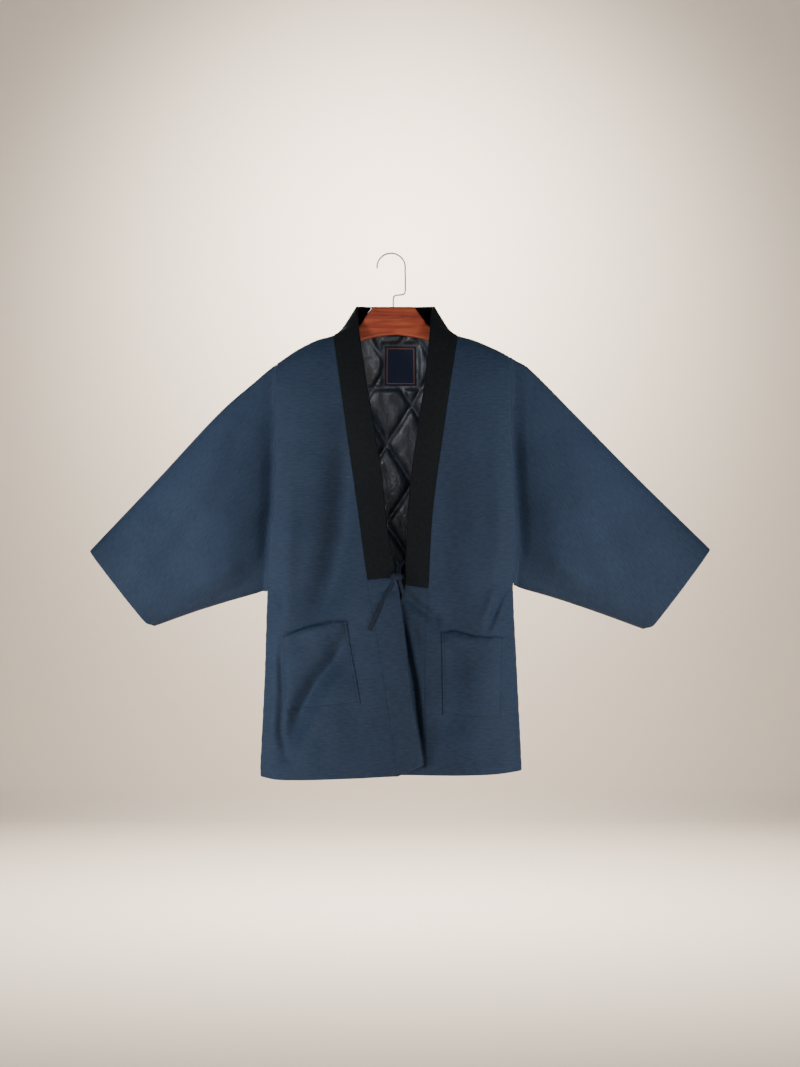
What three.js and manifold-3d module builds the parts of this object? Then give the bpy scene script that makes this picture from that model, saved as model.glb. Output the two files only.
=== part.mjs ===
// A padded haori of the short, wadded kind (a hanten) with its wooden hanger: the quilted cloth
// panels, the standing collar and its bands, the patch pockets, the ties, the lining and label
// that show in the neck, and the hanger that carries it all.
//
// Frame: millimetres, +Z up, -Y the front. The origin is the inside top of the hanger's hook,
// where the hook hangs on a nail. Right and left are the wearer's, so the right side is at -X.
import * as THREE from "three";
import { mergeVertices } from "three/addons/utils/BufferGeometryUtils.js";
import Module from "manifold-3d";

const wasm = await Module();
wasm.setup();

// ---------------------------------------------------------------- driving dimensions

const CLOTH = 5; // outer cloth, wadding and lining quilted into one wall
const POCKET_CLOTH = 2.5;
const LINING_CLOTH = 1.2;
const LABEL_CLOTH = 0.8;
const TIE_CLOTH = 1.6;
const GAP = 0.3; // between pieces that are sewn or lie together

const TENT_HEIGHT = 250; // how far below the shoulder the body reaches its full depth
const SECTION_POWER = 2.5; // 2 is an ellipse across the body, more is flatter
const UNDERARM_ROUND = 120; // height over which the armhole closes at the underarm
const UNDERARM_SHARE = 0.447; // height of the underarm, as a share from the hem to the shoulder tip
const TIP_RIGHT_Z = -198; // where each armhole meets the shoulder line
const TIP_LEFT_Z = -185;
const NECK_Z = -146; // both ends of the neck seam, on the shoulder line
const NECK_RIGHT_X = -104;
const NECK_LEFT_X = 120;
const COLLAR_END_RIGHT_Z = -585; // lower ends of the black collar, on its seam
const COLLAR_END_LEFT_Z = -601;
const COLLAR_CROWN = 1.5; // the padded collar stands this much proud along its middle

// The shoulder line, with the rise that it would have inside the collar.
const SHOULDER = [
  { x: -206, z: -198 },
  { x: -182, z: -181 },
  { x: -157, z: -166 },
  { x: -131, z: -154 },
  { x: -104, z: -146 },
  { x: -50, z: -112 },
  { x: 8, z: -88 },
  { x: 66, z: -112 },
  { x: 120, z: -146 },
  { x: 146, z: -154 },
  { x: 171, z: -164 },
  { x: 193, z: -174 },
  { x: 214, z: -185 },
];

// Armhole line above the underarm, side seam below it.
const EDGE_RIGHT = [
  { z: -198, x: -206 },
  { z: -443, x: -208 },
  { z: -510, x: -216 },
  { z: -606, x: -223 },
  { z: -758, x: -228 },
  { z: -920, x: -236 },
];
const EDGE_LEFT = [
  { z: -185, x: 214 },
  { z: -299, x: 214 },
  { z: -443, x: 220 },
  { z: -515, x: 223 },
  { z: -599, x: 220 },
  { z: -731, x: 226 },
  { z: -929, x: 236 },
];

// The seam of the collar, and below it of the front band.
const SEAM_RIGHT = [
  { z: -146, x: -104 },
  { z: -241, x: -90 },
  { z: -418, x: -66 },
  { z: -585, x: -42 },
  { z: -695, x: -23 },
  { z: -810, x: -5 },
  { z: -935, x: 12 },
];
const SEAM_LEFT = [
  { z: -146, x: 120 },
  { z: -241, x: 105 },
  { z: -410, x: 81 },
  { z: -484, x: 73 },
  { z: -601, x: 67 },
  { z: -688, x: 61 },
  { z: -936, x: 59 },
];

const HEM = [
  { x: -236, z: -940 },
  { x: -200, z: -944 },
  { x: -74, z: -940 },
  { x: 12, z: -935 },
  { x: 178, z: -934 },
  { x: 236, z: -929 },
];
const BACK_NECK = [
  { x: NECK_RIGHT_X, z: NECK_Z },
  { x: 8, z: -153 },
  { x: NECK_LEFT_X, z: NECK_Z },
];

// Half the body's depth along its middle.
const DEPTHS = [
  { z: -146, front: 60, back: 50 },
  { z: -400, front: 64, back: 50 },
  { z: -620, front: 62, back: 44 },
  { z: -945, front: 55, back: 38 },
];
const ARMHOLE_DEPTH_FRONT = 46;
const ARMHOLE_DEPTH_BACK = 42;

// Soft folds: a trough (negative) or ridge along a line from x0, z0 to x1, z1.
const FRONT_FOLDS = [
  { x0: -192, z0: -690, x1: -196, z1: -900, width: 17, height: -11 },
  { x0: -218, z0: -610, x1: -184, z1: -668, width: 14, height: -8 },
  { x0: -96, z0: -660, x1: -188, z1: -860, width: 20, height: -8 },
  { x0: -118, z0: -330, x1: -150, z1: -640, width: 30, height: -9 },
  { x0: -75, z0: -560, x1: -70, z1: -900, width: 45, height: 4 },
  { x0: 216, z0: -612, x1: 182, z1: -672, width: 13, height: -8 },
  { x0: 40, z0: -600, x1: 74, z1: -660, width: 16, height: -7 },
  { x0: 130, z0: -640, x1: 122, z1: -900, width: 26, height: -6 },
  { x0: 160, z0: -330, x1: 152, z1: -560, width: 30, height: -5 },
];
const BACK_FOLDS = [
  { x0: -150, z0: -330, x1: -128, z1: -900, width: 34, height: -8 },
  { x0: 20, z0: -420, x1: 8, z1: -920, width: 40, height: -6 },
  { x0: 162, z0: -350, x1: 140, z1: -900, width: 34, height: -9 },
  { x0: -212, z0: -620, x1: -150, z1: -690, width: 17, height: -6 },
  { x0: 212, z0: -610, x1: 150, z1: -690, width: 17, height: -6 },
];

// The fronts lap below the collar: the right one rides out, the left one lies back.
const LAP_TOP_Z = -520;
const LAP_FULL_Z = -640;
const RIGHT_LAP = { from: -90, to: 10, rise: 7 };
const LEFT_LAP = { from: 130, to: 30, rise: -8 };

// Free edge of the collar. station runs from -2 at its right lower end over -1 at the right neck
// point, 0 at the middle of the back and 1 at the left neck point to 2 at its left lower end.
const COLLAR_EDGE = [
  { station: -2, x: 11, y: -66, z: -579 },
  { station: -1.82, x: -6, y: -61, z: -499 },
  { station: -1.62, x: -16, y: -59, z: -411 },
  { station: -1.4, x: -30, y: -57, z: -315 },
  { station: -1.22, x: -43, y: -50, z: -233 },
  { station: -1.1, x: -51, y: -40, z: -180 },
  { station: -1.03, x: -57, y: -27, z: -144 },
  { station: -0.97, x: -63, y: -9, z: -113 },
  { station: -0.9, x: -67, y: 12, z: -97 },
  { station: -0.75, x: -62, y: 30, z: -95 },
  { station: -0.4, x: -36, y: 40, z: -95 },
  { station: 0, x: 8, y: 43, z: -95 },
  { station: 0.4, x: 52, y: 40, z: -95 },
  { station: 0.75, x: 78, y: 30, z: -95 },
  { station: 0.9, x: 83, y: 12, z: -97 },
  { station: 0.97, x: 79, y: -9, z: -113 },
  { station: 1.03, x: 72, y: -27, z: -144 },
  { station: 1.1, x: 66, y: -40, z: -182 },
  { station: 1.21, x: 59, y: -50, z: -236 },
  { station: 1.39, x: 47, y: -56, z: -317 },
  { station: 1.58, x: 36, y: -58, z: -405 },
  { station: 1.74, x: 30, y: -58, z: -479 },
  { station: 2, x: 25, y: -56, z: -594 },
];

// Free edge of each front band, against the height of its seam.
const BAND_RIGHT = [
  { seamZ: -585, x: 11, z: -579 },
  { seamZ: -695, x: 29, z: -690 },
  { seamZ: -810, x: 44, z: -803 },
  { seamZ: -905, x: 56, z: -889 },
  { seamZ: -935, x: 58, z: -914 },
];
const BAND_LEFT = [
  { seamZ: -601, x: 25, z: -594 },
  { seamZ: -650, x: 11, z: -646 },
  { seamZ: -720, x: 3, z: -718 },
  { seamZ: -803, x: 1, z: -802 },
  { seamZ: -936, x: 0, z: -935 },
];

// Each sleeve from beside its armhole to its cuff (share 1): the fold along the top, the seam
// along the underside, and half the depth before and behind.
const SLEEVE_RIGHT = [
  { share: 0.09, topX: -237, topZ: -220, underX: -243, underZ: -609, front: 29, back: 35 },
  { share: 0.3, topX: -308, topZ: -285, underX: -289, underZ: -624, front: 44, back: 40 },
  { share: 0.62, topX: -416, topZ: -401, underX: -356, underZ: -645, front: 40, back: 34 },
  { share: 1, topX: -543, topZ: -535, underX: -434, underZ: -673, front: 27, back: 24 },
];
const SLEEVE_LEFT = [
  { share: 0.09, topX: 247, topZ: -205, underX: 241, underZ: -604, front: 29, back: 35 },
  { share: 0.3, topX: 322, topZ: -280, underX: 290, underZ: -618, front: 44, back: 40 },
  { share: 0.62, topX: 437, topZ: -397, underX: 365, underZ: -643, front: 40, back: 34 },
  { share: 1, topX: 575, topZ: -532, underX: 464, underZ: -679, front: 27, back: 24 },
];
const SLEEVE_TOP_ROUND = 0.58; // shares of a section over which it reaches its full depth
const SLEEVE_UNDER_ROUND = 0.34;

const POCKET_RIGHT = {
  innerTop: [-80, -657],
  outerTop: [-193, -688],
  innerFoot: [-54, -805],
  outerFoot: [-189, -823],
};
const POCKET_LEFT = {
  innerTop: [90, -679],
  outerTop: [201, -689],
  innerFoot: [92, -828],
  outerFoot: [198, -835],
};

const LABEL = { left: -7, right: 50, top: -168, foot: -238 };

const HANGER_THICKNESS = 12;
const HANGER_ROUND = 5; // rounding of the wood's long edges
const HANGER_REACH = { right: -192, left: 200 };
const HANGER_ARM_HEIGHT = 25;
const HANGER_CLEAR = 2.6; // below the cloth along the arms' middle, so that their edges clear it
const HOOK_WIRE = 2.8;

const COLOURS = {
  cloth: { color: 0x2f3f53, roughness: 0.85 },
  collar: { color: 0x14171a, roughness: 0.95 },
  lining: { color: 0x23272d, roughness: 0.45 },
  label: { color: 0x121a2b, roughness: 0.7 },
  wood: { color: 0x8f4029, roughness: 0.45 },
  wire: { color: 0xb9b9b9, roughness: 0.3, metalness: 1 },
};

// ---------------------------------------------------------------- curves and small helpers

const clamp = (value, low, high) => Math.min(high, Math.max(low, value));
const mix = (a, b, share) => a + (b - a) * share;
const ease = (share) => {
  const t = clamp(share, 0, 1);
  return t * t * (3 - 2 * t);
};
// A quarter of an ellipse: 0 at 0, 1 from 1 on.
const round = (share) => Math.sqrt(1 - (1 - clamp(share, 0, 1)) ** 2);
const even = (count) => Array.from({ length: count + 1 }, (_, i) => i / count);

// A smooth curve through a table's rows, as a function from one column to another, level past
// both ends of the table.
function curve(rows, from, to) {
  const sorted = [...rows].sort((a, b) => a[from] - b[from]);
  const keys = sorted.map((row) => row[from]);
  const values = sorted.map((row) => row[to]);
  const last = keys.length - 1;
  const slope = (i) => {
    const before = Math.max(i - 1, 0);
    const after = Math.min(i + 1, last);
    return (values[after] - values[before]) / (keys[after] - keys[before]);
  };
  return (key) => {
    if (key <= keys[0]) return values[0];
    if (key >= keys[last]) return values[last];
    let i = 0;
    while (key > keys[i + 1]) i++;
    const span = keys[i + 1] - keys[i];
    const t = (key - keys[i]) / span;
    const rise = (t - 1) ** 2 * t * slope(i) + (t - 1) * t * t * slope(i + 1);
    return mix(values[i], values[i + 1], t * t * (3 - 2 * t)) + span * rise;
  };
}

const shoulder = curve(SHOULDER, "x", "z");
const hem = curve(HEM, "x", "z");
const backNeck = curve(BACK_NECK, "x", "z");
const edgeRight = curve(EDGE_RIGHT, "z", "x");
const edgeLeft = curve(EDGE_LEFT, "z", "x");

const HEM_Z = -935;
const underarmOf = (edge, tipZ) => mix(hem(edge(HEM_Z)), tipZ, UNDERARM_SHARE);
const UNDERARM_RIGHT_Z = underarmOf(edgeRight, TIP_RIGHT_Z);
const UNDERARM_LEFT_Z = underarmOf(edgeLeft, TIP_LEFT_Z);

// ---------------------------------------------------------------- the body's surface

const frontDepth = curve(DEPTHS, "z", "front");
const backDepth = curve(DEPTHS, "z", "back");
const lapFall = (z) => ease((LAP_TOP_Z - z) / (LAP_TOP_Z - LAP_FULL_Z));
const lapOf = (lap) => (x, z) => lap.rise * ease((x - lap.from) / (lap.to - lap.from)) * lapFall(z);

const FACES = {
  right: {
    way: -1,
    depth: frontDepth,
    armhole: ARMHOLE_DEPTH_FRONT,
    folds: FRONT_FOLDS,
    lap: lapOf(RIGHT_LAP),
  },
  left: {
    way: -1,
    depth: frontDepth,
    armhole: ARMHOLE_DEPTH_FRONT,
    folds: FRONT_FOLDS,
    lap: lapOf(LEFT_LAP),
  },
  back: {
    way: 1,
    depth: backDepth,
    armhole: ARMHOLE_DEPTH_BACK,
    folds: BACK_FOLDS,
    lap: () => 0,
  },
};

// How far out across the body a point is, from 0 at the middle to 1 at the armhole or side seam.
const outward = (x, z) => Math.abs(x / (x < 0 ? edgeRight(z) : edgeLeft(z)));

// The square of half the body's depth before its folds. It runs out to 0, and on below 0, at the
// shoulder line and the side seams, so that both faces turn over those edges at one angle.
function plainDepthSquared(face, x, z) {
  const underarm = x < 0 ? UNDERARM_RIGHT_Z : UNDERARM_LEFT_Z;
  const drop = Math.min(1, (shoulder(x) - z) / TENT_HEIGHT);
  const tent = 1 - (1 - drop) ** 3;
  const opening = round((z - underarm) / UNDERARM_ROUND);
  const armhole = (face.armhole * opening) ** 2;
  const middle = face.depth(z) ** 2;
  return tent * (armhole + (middle - armhole) * (1 - outward(x, z) ** SECTION_POWER));
}

function foldAt(folds, x, z) {
  let height = 0;
  for (const fold of folds) {
    const dx = fold.x1 - fold.x0;
    const dz = fold.z1 - fold.z0;
    const along = clamp(((x - fold.x0) * dx + (z - fold.z0) * dz) / (dx * dx + dz * dz), 0, 1);
    const away = Math.hypot(x - fold.x0 - along * dx, z - fold.z0 - along * dz);
    height += fold.height * Math.exp(-((away / fold.width) ** 2));
  }
  return height;
}

function depthSquared(face, x, z) {
  const plain = plainDepthSquared(face, x, z);
  if (plain <= 0) return plain;
  const depth = Math.sqrt(plain);
  const fades = Math.min(1, depth / 30) ** 2 * (1 - Math.min(1, outward(x, z)) ** 8);
  return (depth + (face.lap(x, z) + foldAt(face.folds, x, z)) * fades) ** 2;
}

// A point of the outer face of the front or back, and the way out of the cloth there. Where the
// two meet, along the shoulders and sides, they share one normal.
function onBody(face, x, z) {
  const step = 0.5;
  const depth = Math.sqrt(Math.max(0, depthSquared(face, x, z)));
  const faces = depth < 0.01 ? [FACES.right, FACES.back] : [face];
  const rise = (dx, dz) =>
    faces.reduce((sum, each) => {
      return sum + depthSquared(each, x + dx, z + dz) - depthSquared(each, x - dx, z - dz);
    }, 0);
  return {
    point: new THREE.Vector3(x, face.way * (depth + GAP / 2), z),
    normal: new THREE.Vector3(
      -rise(step, 0),
      face.way * 4 * step * depth,
      -rise(0, step),
    ).normalize(),
  };
}

const moved = ({ point, normal }, distance) => ({
  point: point.clone().addScaledVector(normal, distance),
  normal,
});

// ---------------------------------------------------------------- solids

function meshOf(name, material, geometry) {
  const { color, roughness, metalness = 0 } = COLOURS[material];
  const mesh = new THREE.Mesh(
    geometry,
    new THREE.MeshStandardMaterial({ color, roughness, metalness }),
  );
  mesh.name = name;
  return mesh;
}

// A wall of cloth under a grid of outer points with normals. A closed grid wraps round, as a
// sleeve does.
function wall(grid, thickness, closed = false) {
  const rows = grid.length;
  const columns = grid[0].length;
  const layers = [0, -thickness].map((depth) => grid.flat().map((spot) => moved(spot, depth).point));
  const points = layers.flat();
  const at = (layer, i, j) => layer * rows * columns + j * columns + (i % columns);
  const index = [];
  // Split along the shorter diagonal, so that two faces that meet at a seam split alike.
  const quad = (a, b, c, d) => {
    const isShortFirst = points[a].distanceTo(points[c]) < points[b].distanceTo(points[d]);
    index.push(...(isShortFirst ? [a, b, c, a, c, d] : [a, b, d, b, c, d]));
  };
  const across = closed ? columns : columns - 1;
  for (let i = 0; i < across; i++) {
    for (let j = 0; j < rows - 1; j++) {
      quad(at(0, i, j), at(0, i + 1, j), at(0, i + 1, j + 1), at(0, i, j + 1));
      quad(at(1, i, j), at(1, i, j + 1), at(1, i + 1, j + 1), at(1, i + 1, j));
    }
    const end = rows - 1;
    quad(at(0, i, 0), at(1, i, 0), at(1, i + 1, 0), at(0, i + 1, 0));
    quad(at(0, i, end), at(0, i + 1, end), at(1, i + 1, end), at(1, i, end));
  }
  for (let j = 0; j < rows - 1 && !closed; j++) {
    const end = columns - 1;
    quad(at(0, 0, j), at(0, 0, j + 1), at(1, 0, j + 1), at(1, 0, j));
    quad(at(0, end, j), at(1, end, j), at(1, end, j + 1), at(0, end, j + 1));
  }
  return facingOut(points, index);
}

// A geometry from points and triangles, turned round if its faces point inwards.
function facingOut(points, index) {
  let volume = 0;
  for (let i = 0; i < index.length; i += 3) {
    const [a, b, c] = index.slice(i, i + 3).map((k) => points[k]);
    volume += a.dot(b.clone().cross(c));
  }
  const turned = volume < 0 ? [...index].reverse() : index;
  return new THREE.BufferGeometry().setFromPoints(points).setIndex(turned);
}

function toManifold(geometry) {
  const bare = geometry.clone().deleteAttribute("normal").deleteAttribute("uv");
  const merged = mergeVertices(bare, 1e-3);
  return new wasm.Manifold(
    new wasm.Mesh({
      numProp: 3,
      vertProperties: merged.attributes.position.array,
      triVerts: new Uint32Array(merged.index.array),
    }),
  );
}

function fromManifold(solid) {
  const { vertProperties, triVerts, numProp } = solid.getMesh();
  const points = [];
  for (let i = 0; i < vertProperties.length; i += numProp) {
    points.push(new THREE.Vector3().fromArray(vertProperties, i));
  }
  return new THREE.BufferGeometry()
    .setFromPoints(points)
    .setIndex(new THREE.BufferAttribute(triVerts, 1));
}

// ---------------------------------------------------------------- front and back panels

// Rows up a panel, as shares from hem to shoulder: even below the underarm, and above it closer
// together towards both ends of the armhole, as half a turn of the sleeve sees them.
const ROWS_BELOW = 7;
const ROWS_ABOVE = 15;
const halfTurn = (share) => (1 - Math.cos(share * Math.PI)) / 2;
const bodyRows = [
  ...even(ROWS_BELOW).slice(0, -1).map((v) => v * UNDERARM_SHARE),
  ...even(ROWS_ABOVE).map((v) => mix(UNDERARM_SHARE, 1, halfTurn(v))),
];

const SIDES = {
  right: {
    face: FACES.right,
    seam: curve(SEAM_RIGHT, "z", "x"),
    edge: edgeRight,
    tipZ: TIP_RIGHT_Z,
    collarEndZ: COLLAR_END_RIGHT_Z,
    neckX: NECK_RIGHT_X,
  },
  left: {
    face: FACES.left,
    seam: curve(SEAM_LEFT, "z", "x"),
    edge: edgeLeft,
    tipZ: TIP_LEFT_Z,
    collarEndZ: COLLAR_END_LEFT_Z,
    neckX: NECK_LEFT_X,
  },
};

// The place on a front of a share up from the hem and a share out from the collar seam.
function frontPlace(side, out, up) {
  const footX = mix(side.seam(HEM_Z), side.edge(HEM_Z), out);
  const topX = mix(side.neckX, side.edge(side.tipZ), out);
  const innerZ = mix(hem(side.seam(HEM_Z)), NECK_Z, up);
  const outerZ = mix(hem(side.edge(HEM_Z)), side.tipZ, up);
  return {
    x: mix(side.seam(innerZ), side.edge(outerZ), out),
    z: mix(hem(footX), shoulder(topX), up),
  };
}

function frontGrid(side) {
  const outs = even(12).map((u) => mix(u, Math.sin((u * Math.PI) / 2), 0.7));
  return bodyRows.map((up) =>
    outs.map((out) => {
      const { x, z } = frontPlace(side, out, up);
      return onBody(side.face, x, z);
    }),
  );
}

const frontPanel = (side) => wall(frontGrid(side), CLOTH);

// Columns across the back, with one on each neck point and closer ones towards the sides.
const backNeckShares = [NECK_RIGHT_X, NECK_LEFT_X].map(
  (x) => (x - edgeRight(TIP_RIGHT_Z)) / (edgeLeft(TIP_LEFT_Z) - edgeRight(TIP_RIGHT_Z)),
);
const backColumns = [
  ...even(4).map((u) => backNeckShares[0] * (1 - Math.cos((u * Math.PI) / 2))),
  ...even(6).slice(1, -1).map((u) => mix(backNeckShares[0], backNeckShares[1], u)),
  ...even(4).map((u) => mix(backNeckShares[1], 1, Math.sin((u * Math.PI) / 2))),
];

function backPlace(across, up) {
  const footX = mix(edgeRight(HEM_Z), edgeLeft(HEM_Z), across);
  const topX = mix(edgeRight(TIP_RIGHT_Z), edgeLeft(TIP_LEFT_Z), across);
  const rightZ = mix(hem(edgeRight(HEM_Z)), TIP_RIGHT_Z, up);
  const leftZ = mix(hem(edgeLeft(HEM_Z)), TIP_LEFT_Z, up);
  const isNeck = topX > NECK_RIGHT_X && topX < NECK_LEFT_X;
  return {
    x: mix(edgeRight(rightZ), edgeLeft(leftZ), across),
    z: mix(hem(footX), isNeck ? backNeck(topX) : shoulder(topX), up),
  };
}

const backGrid = bodyRows.map((up) =>
  backColumns.map((across) => {
    const { x, z } = backPlace(across, up);
    return onBody(FACES.back, x, z);
  }),
);

// The lining of the back, from the back's own points, short of its sides, hem and shoulders.
const LINING_COLUMNS = [2, -2];
const LINING_ROWS = [1, -2];
const liningGrid = backGrid
  .slice(...LINING_ROWS)
  .map((row) => row.slice(...LINING_COLUMNS).map((spot) => moved(spot, -CLOTH - GAP)));

// ---------------------------------------------------------------- sleeves

const ARMHOLE_SLEEVE_DEPTH = 33; // the sleeve's own half-depth where it leaves the armhole

function sleeveShape(table, side, underarmZ, way) {
  const armhole = {
    share: 0,
    topX: side.edge(side.tipZ),
    topZ: side.tipZ,
    underX: side.edge(underarmZ),
    underZ: underarmZ,
    front: ARMHOLE_SLEEVE_DEPTH,
    back: ARMHOLE_SLEEVE_DEPTH,
  };
  const shape = { side, underarmZ, way };
  for (const column of Object.keys(armhole)) {
    if (column !== "share") shape[column] = curve([armhole, ...table], "share", column);
  }
  return shape;
}

const SLEEVES = {
  right: sleeveShape(SLEEVE_RIGHT, SIDES.right, UNDERARM_RIGHT_Z, 1),
  left: sleeveShape(SLEEVE_LEFT, SIDES.left, UNDERARM_LEFT_Z, -1),
};
const ARMHOLE_BLEND = 0.1; // share of a sleeve over which it leaves the armhole's own section

// A place on a sleeve: angle runs round it from the top fold over the front to the underarm seam
// at half a turn, and share runs from the armhole to the cuff.
function sleevePoint(sleeve, angle, share) {
  const down = (1 - Math.cos(angle)) / 2;
  const isFront = Math.sin(angle) >= 0;
  const armholeZ = mix(sleeve.side.tipZ, sleeve.underarmZ, down);
  const armholeX = sleeve.side.edge(armholeZ);
  const bend = armholeX - mix(sleeve.topX(0), sleeve.underX(0), down);
  const atArmhole = Math.sqrt(
    Math.max(0, plainDepthSquared(isFront ? sleeve.side.face : FACES.back, armholeX, armholeZ)),
  );
  const full = isFront ? sleeve.front(share) : sleeve.back(share);
  const own = full * round(down / SLEEVE_TOP_ROUND) * round((1 - down) / SLEEVE_UNDER_ROUND);
  const depth = mix(atArmhole, own, ease(share / ARMHOLE_BLEND));
  return new THREE.Vector3(
    mix(sleeve.topX(share), sleeve.underX(share), down) + bend * (1 - ease(share / 0.3)),
    (isFront ? -1 : 1) * depth,
    mix(sleeve.topZ(share), sleeve.underZ(share), down),
  );
}

function sleeveSpot(sleeve, angle, share) {
  const turn = 0.02;
  const along = 0.004;
  const point = sleevePoint(sleeve, angle, share);
  const round = sleevePoint(sleeve, angle + turn, share).sub(
    sleevePoint(sleeve, angle - turn, share),
  );
  const start = sleevePoint(sleeve, angle, 0);
  const face = Math.sin(angle) >= 0 ? sleeve.side.face : FACES.back;
  const edgeNormal = onBody(face, start.x, start.z).normal;
  if (share === 0) {
    const away = round.cross(edgeNormal).normalize().multiplyScalar(GAP * sleeve.way);
    return { point: point.add(away), normal: edgeNormal };
  }
  const outwards = sleevePoint(sleeve, angle, Math.min(1, share + along)).sub(
    sleevePoint(sleeve, angle, share - along),
  );
  const own = outwards.cross(round).normalize().multiplyScalar(sleeve.way);
  return { point, normal: edgeNormal.lerp(own, ease(share / ARMHOLE_BLEND)).normalize() };
}

function sleeve(which) {
  const shares = even(11).map((s) => s ** 1.4);
  const angles = even(2 * ROWS_ABOVE).slice(0, -1).map((turn) => turn * 2 * Math.PI);
  return wall(
    shares.map((share) => angles.map((angle) => sleeveSpot(SLEEVES[which], angle, share))),
    CLOTH,
    true,
  );
}

// ---------------------------------------------------------------- collar and front bands

const collarEdge = {
  x: curve(COLLAR_EDGE, "station", "x"),
  y: curve(COLLAR_EDGE, "station", "y"),
  z: curve(COLLAR_EDGE, "station", "z"),
};
const COLLAR_ACROSS = [0, 0.2, 0.5, 0.8, 1];
const COLLAR_CLEAR = 1.5 * GAP; // off a panel's edge, on rows that the panel's own rows lie between

// A spot on a front's collar seam, on the straight line between two of the panel's own rows.
function seamSpot(side, z) {
  const spots = bodyRows.map((up) => {
    const place = frontPlace(side, 0, up);
    return onBody(side.face, place.x, place.z);
  });
  const above = Math.max(1, spots.findIndex(({ point }) => point.z >= z - 1e-6));
  const [low, high] = [spots[above - 1], spots[above]];
  const share = (z - low.point.z) / (high.point.z - low.point.z);
  return {
    point: low.point.clone().lerp(high.point, share),
    normal: low.normal.clone().lerp(high.normal, share),
  };
}

// The heights of a front's own rows along its collar seam, from the hem up.
const seamHeights = (side) => bodyRows.map((up) => frontPlace(side, 0, up).z);

// The seam of the collar from its right end round the neck to its left end, on the same points as
// the edges of the panels that it is sewn to.
function collarSeam() {
  const up = (side) => {
    const rows = [side.collarEndZ, ...seamHeights(side).filter((z) => z > side.collarEndZ + 4)];
    return rows.map((z) => ({
      spot: seamSpot(side, z),
      station: 1 + (NECK_Z - z) / (NECK_Z - side.collarEndZ),
    }));
  };
  const middle = (NECK_RIGHT_X + NECK_LEFT_X) / 2;
  const back = backGrid.at(-1).map((spot) => ({
    spot,
    station: (spot.point.x - middle) / (NECK_LEFT_X - middle),
  }));
  return [
    ...up(SIDES.right).map(({ spot, station }) => ({ spot, station: -station })),
    ...back.filter(({ station }) => Math.abs(station) < 0.99),
    ...up(SIDES.left).reverse(),
  ];
}

function collar() {
  const stations = collarSeam().map(({ spot, station }) => ({
    spot,
    edge: new THREE.Vector3(collarEdge.x(station), collarEdge.y(station), collarEdge.z(station)),
  }));
  const middleOf = ({ spot, edge }) => spot.point.clone().add(edge).multiplyScalar(0.5);
  const grid = stations.map((station, i) => {
    const before = middleOf(stations[Math.max(i - 1, 0)]);
    const after = middleOf(stations[Math.min(i + 1, stations.length - 1)]);
    const width = station.edge.clone().sub(station.spot.point);
    const facing = after.sub(before).cross(width).normalize();
    if (facing.dot(station.spot.normal) < 0) facing.negate();
    const clear = width.clone().projectOnPlane(station.spot.normal).setLength(COLLAR_CLEAR);
    return COLLAR_ACROSS.map((share) => {
      const normal = station.spot.normal.clone().lerp(facing, ease(share / 0.3)).normalize();
      const point = station.spot.point.clone().add(clear).addScaledVector(width, share);
      return { point: point.addScaledVector(normal, COLLAR_CROWN * Math.sin(share * Math.PI)), normal };
    });
  });
  return wall(grid, CLOTH);
}

// A front band: the strip below the collar's end, from the seam to its free edge.
function band(sideName, edgeRows) {
  const side = SIDES[sideName];
  const edgeX = curve(edgeRows, "seamZ", "x");
  const edgeZ = curve(edgeRows, "seamZ", "z");
  const topZ = side.collarEndZ - 2 * GAP;
  const clear = Math.sign(edgeX(topZ) - side.seam(topZ)) * COLLAR_CLEAR;
  return wall(
    [...seamHeights(side).filter((z) => z < topZ - 8), topZ].map((z) =>
      even(4).map((share) => {
        const { point, normal } = seamSpot(side, z);
        point.x += clear;
        if (share === 0) return { point, normal };
        return onBody(side.face, mix(point.x, edgeX(z), share), mix(z, edgeZ(z) - 2 * GAP, share));
      }),
    ),
    CLOTH,
  );
}

// ---------------------------------------------------------------- pockets and label

const PATCH_BITE = 0.5; // how far a patch's slab reaches into its panel before it is cut to fit

const spread = (grid, distance) => grid.map((row) => row.map((spot) => moved(spot, distance)));

// A flat piece sewn on the front of a panel: the panel's own points moved out, kept inside an
// outline of x and z, and cut clear of the panel itself.
function patch(panelGrid, panel, thickness, outline) {
  const reach = 200;
  const prism = new THREE.ExtrudeGeometry(
    new THREE.Shape(outline.map(([x, z]) => new THREE.Vector2(x, z))),
    { depth: 2 * reach, bevelEnabled: false },
  );
  prism.rotateX(Math.PI / 2).translate(0, reach, 0);
  const slab = wall(spread(panelGrid, GAP + thickness), thickness + GAP + PATCH_BITE);
  const kept = toManifold(slab).intersect(toManifold(prism));
  return fromManifold(kept.subtract(toManifold(panel).translate([0, -GAP, 0])));
}

function pocket(sideName, corners) {
  const outline = [corners.innerTop, corners.outerTop, corners.outerFoot, corners.innerFoot];
  const side = SIDES[sideName];
  return patch(frontGrid(side), frontPanel(side), POCKET_CLOTH, outline);
}

function label() {
  const { left, right, top, foot } = LABEL;
  const outline = [
    [left, top],
    [right, top],
    [right, foot],
    [left, foot],
  ];
  const facingIn = spread(liningGrid, -LINING_CLOTH).map((row) =>
    row.map(({ point, normal }) => ({ point, normal: normal.clone().negate() })),
  );
  return patch(facingIn, wall(liningGrid, LINING_CLOTH), LABEL_CLOTH, outline);
}

// ---------------------------------------------------------------- ties

const KNOT = { x: 10, z: -579, halfWidth: 11, halfDepth: 5.5, halfHeight: 7 };
const LONG_TIE = [
  { x: 4, z: -590 },
  { x: -17, z: -628 },
  { x: -39, z: -675 },
];
const FRONT = new THREE.Vector3(0, -1, 0);

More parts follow.
